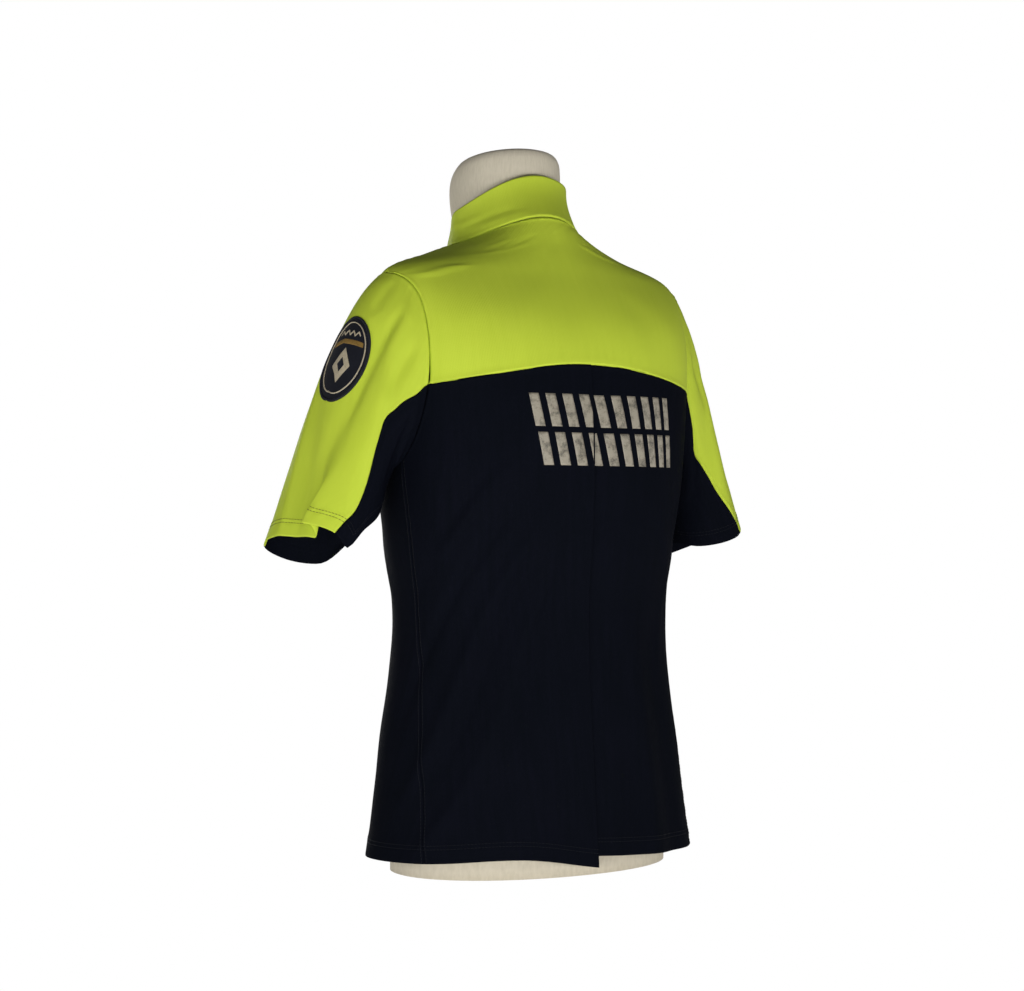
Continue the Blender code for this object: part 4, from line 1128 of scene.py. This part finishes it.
# ---------------------------------------------------------------- sleeve patch
# An oval badge of navy twill on the outside of the left sleeve, with plain satin-stitched shapes
# inside a light ring, and a thick overlocked border that holds it to the sleeve.
PATCH_CLOCK = 5.0
PATCH_REACH = 0.486
PATCH_HALF_WIDTH = 0.0300
PATCH_HALF_HEIGHT = 0.0470
PATCH_THICKNESS = 0.0009
BORDER_RADIUS = 0.0014
BORDER_RIB = 0.0011       # from one thread of the border to the next
RING_SHARE = 0.84         # size of the light ring inside the border
RING_RADIUS = 0.0007
MOTIF_HEIGHT = 0.0005     # how far satin stitch stands up


def nearby(clock, reach):
    """A place on the sleeve near the middle of the patch."""
    return sleeve_cloth(PATCH_CLOCK + clock, PATCH_REACH + reach, "left")


metres_per_clock = (nearby(2.0, 0.0) - nearby(-2.0, 0.0)).length / 4.0
metres_per_reach = (nearby(0.0, 0.02) - nearby(0.0, -0.02)).length / 0.04


def on_patch(across, down, lift):
    """A place over the sleeve, in metres from the middle of the patch."""
    clock = PATCH_CLOCK + across / metres_per_clock
    reach = PATCH_REACH + down / metres_per_reach
    point = sleeve_cloth(clock, reach, "left")
    outward = (sleeve_cloth(clock, reach, "left", 0.001) - point).normalized()
    ripple = RIPPLE * noise.noise(point / RIPPLE_SIZE)
    return point + outward * (ripple + CLOTH / 2 + lift)


def patch_piece(name, columns, rows, placed, material, closed=False):
    """A grid whose points are placed on the patch by their two shares, with metres as UV."""
    shape = bmesh.new()
    bmesh.ops.create_grid(shape, x_segments=columns, y_segments=rows, size=0.5)
    threads = shape.loops.layers.uv.new("threads")
    places = {}
    for vertex in shape.verts:
        across, down, lift = placed(vertex.co.x + 0.5, vertex.co.y + 0.5)
        vertex.co = on_patch(across, down, lift)
        places[vertex] = (across, down)
    for face in shape.faces:
        for loop in face.loops:
            loop[threads].uv = places[loop.vert]
    if closed:
        bmesh.ops.remove_doubles(shape, verts=shape.verts, dist=0.00001)
    bmesh.ops.recalc_face_normals(shape, faces=shape.faces)
    return make_piece(name, shape, material)


def face_out(piece):
    """Turn an open piece's faces away from the sleeve."""
    mesh = piece.data
    polygon = mesh.polygons[len(mesh.polygons) // 2]
    middle = on_patch(0.0, 0.0, 0.0)
    if polygon.normal.dot(on_patch(0.0, 0.0, 0.001) - middle) < 0.0:
        mesh.flip_normals()
    return piece


def thread_material(name, shade, tone, pitch, turn):
    """Satin stitch or twill: threads of one colour at an angle in degrees, painted shade between
    them.
    """
    material, tree, output = new_material(name)
    place = add_node(tree, "ShaderNodeUVMap", {}, uv_map="threads")
    along = add_node(tree, "ShaderNodeMapping", {
        "Vector": place.outputs["UV"], "Rotation": (0.0, 0.0, math.radians(turn))})
    lines = add_node(tree, "ShaderNodeTexWave", {
        "Vector": along.outputs["Vector"], "Scale": math.pi / (10.0 * pitch), "Distortion": 0.6,
        "Detail": 1.0}, bands_direction="X")
    patches = add_node(tree, "ShaderNodeTexNoise", {
        "Vector": place.outputs["UV"], "Scale": 300.0, "Detail": 2.0})
    # Painted shade between the threads, where their relief is low; tone differs in random patches.
    both = add_node(tree, "ShaderNodeMath", {
        0: lines.outputs["Fac"], 1: patches.outputs["Fac"]}, operation="MULTIPLY")
    tint = add_node(tree, "ShaderNodeValToRGB", {"Fac": both.outputs["Value"]})
    tint.color_ramp.elements[0].color = colour(tone)
    tint.color_ramp.elements[0].position = 0.04
    tint.color_ramp.elements[1].color = colour(shade)
    tint.color_ramp.elements[1].position = 0.40
    relief = add_node(tree, "ShaderNodeBump", {
        "Height": lines.outputs["Fac"], "Strength": 0.5, "Distance": 0.0002})
    surface = add_node(tree, "ShaderNodeBsdfPrincipled", {
        "Base Color": tint.outputs["Color"], "Roughness": 0.50, "Specular IOR Level": 0.25,
        "Sheen Weight": 0.05, "Normal": relief.outputs["Normal"]})
    tree.links.new(surface.outputs["BSDF"], output.inputs["Surface"])
    return material


# Rayon embroidery thread on polyester twill. The threads are drawn 0.9 to 1.1 mm apart, because
# the real 0.4 mm is too fine to show.
patch_twill = thread_material("navy_polyester_twill", "121522", "0A0C14", 0.0011, 38.0)
border_thread = thread_material("navy_rayon_overlock_thread", "161928", "0B0D16", 0.0011, 90.0)
light_thread = thread_material("off_white_rayon_satin_stitch", "CFC3A8", "9C9078", 0.0009, 0.0)
gold_thread = thread_material("gold_rayon_satin_stitch", "9A7A3A", "6A5022", 0.0009, 90.0)


def oval(share, size):
    """A place on the patch's outline, or on a smaller oval inside it."""
    angle = share * 2.0 * math.pi
    return PATCH_HALF_WIDTH * size * math.cos(angle), PATCH_HALF_HEIGHT * size * math.sin(angle)


def tube_place(share, turn, size, radius, lift):
    """A place on a cord that lies along an oval."""
    angle = turn * 2.0 * math.pi
    across, down = oval(share, size)
    outward = Vector((across / PATCH_HALF_WIDTH ** 2, down / PATCH_HALF_HEIGHT ** 2)).normalized()
    across += outward.x * radius * math.cos(angle)
    down += outward.y * radius * math.cos(angle)
    return across, down, lift + radius * math.sin(angle)


ground = face_out(patch_piece("patch_ground", 72, 16,
                              lambda share, size: (*oval(share, size),
                                                   PATCH_THICKNESS / 2 + 0.0001),
                              patch_twill, True))
wall = ground.modifiers.new("Thickness", "SOLIDIFY")
wall.thickness = PATCH_THICKNESS
wall.offset = 0.0
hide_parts("sleeve_patch")

oval_length = 2.0 * math.pi * math.sqrt((PATCH_HALF_WIDTH ** 2 + PATCH_HALF_HEIGHT ** 2) / 2)
ribs = round(oval_length / BORDER_RIB)
border = patch_piece("patch_border", ribs * 4, 10, lambda share, turn: tube_place(
    share, turn, 0.985, BORDER_RADIUS * (1.0 + 0.10 * math.sin(share * ribs * 2.0 * math.pi)),
    PATCH_THICKNESS / 2 + 0.0002), border_thread, True)
ring = patch_piece("patch_ring", 120, 8, lambda share, turn: tube_place(
    share, turn, RING_SHARE, RING_RADIUS, PATCH_THICKNESS + 0.0001), light_thread, True)


def domed(first, second):
    """How high satin stitch stands at a place in its shape."""
    rim = max(abs(2.0 * first - 1.0), abs(2.0 * second - 1.0))
    return PATCH_THICKNESS + MOTIF_HEIGHT * (1.0 - rim ** 4)


def lozenge(width, height, down, extra=0.0):
    """A stitched lozenge of the given size, with its middle below that of the patch."""
    return lambda first, second: (
        (first - second) * width / 2, down + (first + second - 1.0) * height / 2,
        domed(first, second) + extra)


def zigzag(first, second):
    """A place in the stitched zigzag line."""
    across = (first - 0.5) * 0.030
    teeth = abs((first * 4.0) % 1.0 - 0.5) * 2.0
    return across, -0.0285 + 0.0048 * teeth + (second - 0.5) * 0.0030, domed(first, second)


def band(first, second):
    """A place in the stitched band, which ends inside the ring."""
    down = mix(-0.0185, -0.0125, second)
    reach_out = PATCH_HALF_WIDTH * (RING_SHARE - 0.05)
    reach_out *= math.sqrt(1.0 - (down / (PATCH_HALF_HEIGHT * RING_SHARE)) ** 2)
    return (first - 0.5) * 2.0 * reach_out, down, domed(first, second)


motifs = [
    patch_piece("patch_zigzag", 40, 6, zigzag, light_thread),
    patch_piece("patch_band", 30, 8, band, gold_thread),
    patch_piece("patch_lozenge", 16, 16, lozenge(0.027, 0.040, 0.0105), light_thread),
    patch_piece("patch_inner_lozenge", 10, 10, lozenge(0.012, 0.018, 0.0105, 0.0003),
                border_thread),
]
motifs = [face_out(piece) for piece in motifs]


# ---------------------------------------------------------------- collar
# A stand collar of doubled lime knit, sewn to the neck seam. It follows the neck at the back and
# flares at its open front ends.
COLLAR_HEIGHT = 0.047
COLLAR_FRONT_TURN = -58.0
COLLAR_TOP_TURN = -45.0   # its front ends slant back towards the top
COLLAR_TOP_HALF = 0.0668
COLLAR_BACK_CENTRE_Y = -0.0570
COLLAR_FRONT_CENTRE_Y = -0.0420
COLLAR_FLARE = 0.014      # its front corners stand off above the neck seam
COLLAR_FLARE_START = 0.78
COLLAR_DRAWN_IN = 0.0025  # its top edge lies closer to the neck at the ends
COLLAR_FRONT_SHARE = 0.52
COLLAR_LIFT = 0.0125      # it stands higher right of the nape
COLLAR_LIFT_TURN = 150.0
COLLAR_LIFT_WIDTH = 30.0
COLLAR_THICKNESS = 0.0018
COLLAR_CREASES = [
    # turn_a up_a  turn_b up_b  depth   width (share of the height)
    (84.0, 0.10, 22.0, 0.22, 0.0010, 0.09),
    (70.0, 0.26, 8.0, 0.42, -0.0009, 0.09),
    (40.0, 0.40, -22.0, 0.60, 0.0008, 0.10),
    (150.0, 0.15, 205.0, 0.35, 0.0010, 0.10),
]
points = []
for row in range(25):
    up = row / 24
    line = []
    for column in range(121):
        along = column / 120
        end_turn = mix(COLLAR_FRONT_TURN, COLLAR_TOP_TURN, up)
        turn = mix(end_turn, 180.0 - end_turn, along)
        base = trunk_cloth(turn, NECK)
        sideways = Vector((math.cos(math.radians(turn)), math.sin(math.radians(turn)), 0.0))
        end = abs(2.0 * along - 1.0)
        flare = smooth_step((end - COLLAR_FLARE_START) / (1.0 - COLLAR_FLARE_START))
        centre_y = mix(COLLAR_BACK_CENTRE_Y, COLLAR_FRONT_CENTRE_Y, end ** 2)
        top = Vector((0.0, centre_y, base.z))
        top += sideways * (COLLAR_TOP_HALF - COLLAR_DRAWN_IN * end ** 2)
        point = mix(base, top, math.sin(up * math.pi / 2))
        point += sideways * (COLLAR_FLARE * flare * math.sin(up * math.pi) * (1.0 - up))
        height = COLLAR_HEIGHT * mix(1.0, COLLAR_FRONT_SHARE, end ** 2)
        height += COLLAR_LIFT * math.exp(-((turn - COLLAR_LIFT_TURN) / COLLAR_LIFT_WIDTH) ** 2)
        point.z += SEAM_GAP + CLOTH * 0.5 + height * up
        for turn_a, up_a, turn_b, up_b, depth, width in COLLAR_CREASES:
            share = (turn - turn_a) / (turn_b - turn_a)
            fade = smooth_step(share * 4.0) * smooth_step((1.0 - share) * 4.0)
            away = (up - mix(up_a, up_b, share)) / width
            point += sideways * (depth * fade * math.exp(-away * away))
        line.append(point)
    points.append(line)
collar_edges = {"bottom": "seam", "top": None, "first": None, "last": None}
collar_grid = finish_cloth(points, collar_edges, 1.0)
collar = cloth_piece("collar_cloth", collar_grid, lime_knit, "collar", 1.0,
                     COLLAR_THICKNESS)


# ---------------------------------------------------------------- placket and buttons
# A folded lime band is sewn along each side of the front slit. Two small resin buttons with a
# sunk face and no holes lie on the right one.
def laid_on(points, row, column, out):
    """A point over a grid, between its own points, moved out by a distance."""
    low_row = min(int(row), len(points) - 2)
    low_column = min(int(column), len(points[0]) - 2)
    up, across = row - low_row, column - low_column
    near = mix(points[low_row][low_column], points[low_row][low_column + 1], across)
    far = mix(points[low_row + 1][low_column], points[low_row + 1][low_column + 1], across)
    return mix(near, far, up) + grid_outwards(points, low_row, low_column) * out


BAND_START = 0.17         # share of the front yoke's rows below the bands
BAND_WIDTH = 0.022
BAND_LIFT = 0.0012
yoke_rows = len(front_yoke_grid) - 1
row_list = [row for row in range(yoke_rows + 1) if row / yoke_rows > BAND_START]
band_grid = []
for row in row_list:
    reached = lengths_from(front_yoke_grid[row])
    line = []
    for step in range(13):
        wanted = BAND_WIDTH * step / 12
        column = 0
        while reached[column + 1] < wanted:
            column += 1
        part = (wanted - reached[column]) / (reached[column + 1] - reached[column])
        line.append(laid_on(front_yoke_grid, row, column + part, BAND_LIFT))
    band_grid.append(line)
band_edges = {"bottom": "seam", "top": None, "first": None, "last": "seam"}
band_grid = finish_cloth(band_grid, band_edges, 1.0)
for side, grid, outwards in (("left", band_grid, 1.0), ("right", mirrored(band_grid), -1.0)):
    piece = cloth_piece("placket_band_cloth_" + side, grid, lime_knit,
                        "placket_band_" + side, outwards)

BUTTON_RADIUS = 0.0052
BUTTON_HEIGHT = 0.0022
resin, tree, output = new_material("dyed_polyester_resin")
place = add_node(tree, "ShaderNodeTexCoord", {})
swirl = add_node(tree, "ShaderNodeTexNoise", {
    "Vector": place.outputs["Object"], "Scale": 320.0, "Detail": 2.0})
tint = add_node(tree, "ShaderNodeValToRGB", {"Fac": swirl.outputs["Fac"]})
tint.color_ramp.elements[0].color = colour("A9BC3A")
tint.color_ramp.elements[1].color = colour("C3D450")
surface = add_node(tree, "ShaderNodeBsdfPrincipled", {
    "Base Color": tint.outputs["Color"], "Roughness": 0.28, "IOR": 1.55})
tree.links.new(surface.outputs["BSDF"], output.inputs["Surface"])
for number in (1, 2):
    low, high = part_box("button_" + str(number))
    centre = (Vector(low) + Vector(high)) / 2
    nearest = min(((point - Vector((-centre.x, centre.y, centre.z))).length, row, column)
                  for row, line in enumerate(band_grid) for column, point in enumerate(line))
    outward = grid_outwards(band_grid, nearest[1], nearest[2])
    outward.x = -outward.x
    facing = outward.to_track_quat("Z", "Y").to_matrix().to_4x4()
    shape = bmesh.new()
    bmesh.ops.create_cone(shape, cap_ends=True, segments=40, radius1=BUTTON_RADIUS,
                          radius2=BUTTON_RADIUS, depth=BUTTON_HEIGHT)
    top = max(shape.faces, key=lambda face: face.calc_center_median().z)
    bmesh.ops.inset_region(shape, faces=[top], thickness=0.0010, depth=0.0)
    bmesh.ops.inset_region(shape, faces=[top], thickness=0.0004, depth=-0.0007)
    rim_edges = [edge for edge in shape.edges if edge.calc_face_angle(0.0) > 0.6]
    bmesh.ops.bevel(shape, geom=rim_edges, offset=0.00022, segments=2, profile=0.5,
                    affect="EDGES", material=-1)
    bmesh.ops.transform(shape, matrix=Matrix.Translation(centre) @ facing, verts=shape.verts)
    make_piece("button_disc_" + str(number), shape, resin,
               "button_" + str(number))


# ---------------------------------------------------------------- sewing
# Rows of lockstitch: twin rows above the hems of body and sleeves, in navy thread that stands out
# on the lime, a row at each side seam, and lime rows below the collar and along the placket.
STITCH_PITCH = 0.0036
STITCH_STEPS = 5          # rings of the mesh to a stitch
STITCH_SIZES = (0.15, 0.85, 1.0, 1.0, 0.85)
THREAD_RADIUS = 0.00030
THREAD_SIDES = 6


def line_beside(points, side, distance, outwards):
    """Places, and directions out of the cloth, at a distance from an edge of a grid."""
    rows, columns = range(len(points)), range(len(points[0]))
    if side in ("bottom", "top"):
        walks = [[(row, column) for row in rows] for column in columns]
    else:
        walks = [[(row, column) for column in columns] for row in rows]
    if side in ("top", "last"):
        walks = [walk[::-1] for walk in walks]
    line = []
    for walk in walks:
        step, reached, previous = 0, 0.0, 0.0
        while reached < distance:
            step += 1
            near, far = walk[step - 1], walk[step]
            previous = reached
            reached += (points[far[0]][far[1]] - points[near[0]][near[1]]).length
        share = (distance - previous) / (reached - previous)
        place = mix(points[near[0]][near[1]], points[far[0]][far[1]], share)
        line.append((place, grid_outwards(points, *far) * outwards))
    return line


def sew(shape, line, thickness=CLOTH):
    """Add a row of stitches along a line of places to a bmesh: a cord that dips between them."""
    reached = lengths_from([place for place, outward in line])
    count = max(int(reached[-1] / STITCH_PITCH), 1)
    rings = count * STITCH_STEPS
    made = bmesh.ops.create_grid(shape, x_segments=rings, y_segments=THREAD_SIDES, size=0.5)
    centres = []
    index = 0
    for ring in range(rings + 1):
        wanted = reached[-1] * ring / rings
        while index < len(reached) - 2 and reached[index + 1] < wanted:
            index += 1
        share = (wanted - reached[index]) / (reached[index + 1] - reached[index])
        size = STITCH_SIZES[ring % STITCH_STEPS] if 0 < ring < rings else 0.0
        outward = mix(line[index][1], line[index + 1][1], share)
        along = (line[index + 1][0] - line[index][0]).normalized()
        sunk = THREAD_RADIUS * (0.2 if size > 0.5 else -1.2)
        centre = mix(line[index][0], line[index + 1][0], share) + outward * (thickness / 2 + sunk)
        centres.append((centre, outward, along.cross(outward), size * THREAD_RADIUS))
    for vertex in made["verts"]:
        centre, outward, sideways, radius = centres[round((vertex.co.x + 0.5) * rings)]
        angle = (vertex.co.y + 0.5) * 2.0 * math.pi
        vertex.co = (centre + outward * (radius * math.cos(angle))
                     + sideways * (radius * math.sin(angle)))


def spun_thread(name, shade, tone):
    """Spun polyester sewing thread, mottled by its twist."""
    material, tree, output = new_material(name)
    place = add_node(tree, "ShaderNodeTexCoord", {})
    twist = add_node(tree, "ShaderNodeTexNoise", {
        "Vector": place.outputs["Object"], "Scale": 2400.0, "Detail": 1.0})
    tint = add_node(tree, "ShaderNodeValToRGB", {"Fac": twist.outputs["Fac"]})
    tint.color_ramp.elements[0].color = colour(tone)
    tint.color_ramp.elements[1].color = colour(shade)
    surface = add_node(tree, "ShaderNodeBsdfPrincipled", {
        "Base Color": tint.outputs["Color"], "Roughness": 0.60, "Specular IOR Level": 0.2})
    tree.links.new(surface.outputs["BSDF"], output.inputs["Surface"])
    return material


navy_thread = spun_thread("navy_spun_polyester_thread", "10131C", "090B12")
lime_thread = spun_thread("lime_spun_polyester_thread", "C6DA3C", "A8BE30")

hem_rows = bmesh.new()
for distance in HEM_STITCHES:
    sew(hem_rows, line_beside(back_grid, "bottom", distance, 1.0))
    sew(hem_rows, line_beside(front_grid, "bottom", distance, 1.0))
side_rows = bmesh.new()
for side in ("first", "last"):
    for grid, arm_share in ((back_grid, arm_share_back), (front_grid, arm_share_front)):
        line = line_beside(grid, side, 0.0026, 1.0)
        sew(side_rows, line[:int(len(line) * (1.0 - arm_share))])
sleeve_rows = bmesh.new()
for upper, under, outwards in sleeve_grids.values():
    for distance in HEM_STITCHES:
        sew(sleeve_rows, line_beside(upper, "top", distance, outwards))
        sew(sleeve_rows, line_beside(under, "top", distance, outwards))
neck_rows = bmesh.new()
sew(neck_rows, line_beside(yoke_grid, "top", 0.0026, 1.0))
sew(neck_rows, line_beside(front_yoke_grid, "top", 0.0026, 1.0))
sew(neck_rows, line_beside(mirrored(front_yoke_grid), "top", 0.0026, -1.0))
for grid, outwards in ((band_grid, 1.0), (mirrored(band_grid), -1.0)):
    sew(neck_rows, line_beside(grid, "first", 0.0016, outwards))
    sew(neck_rows, line_beside(grid, "last", 0.0024, outwards))
for name, shape, thread, slot in (("hem_stitches", hem_rows, navy_thread, "navy_knit"),
                                  ("side_seam_stitches", side_rows, navy_thread, "navy_knit"),
                                  ("sleeve_hem_stitches", sleeve_rows, navy_thread, "navy_knit"),
                                  ("neck_and_placket_stitches", neck_rows, lime_thread, "lime_knit")):
    bmesh.ops.remove_doubles(shape, verts=shape.verts, dist=0.000004)
    bmesh.ops.recalc_face_normals(shape, faces=shape.faces)
    make_piece(name, shape, thread)
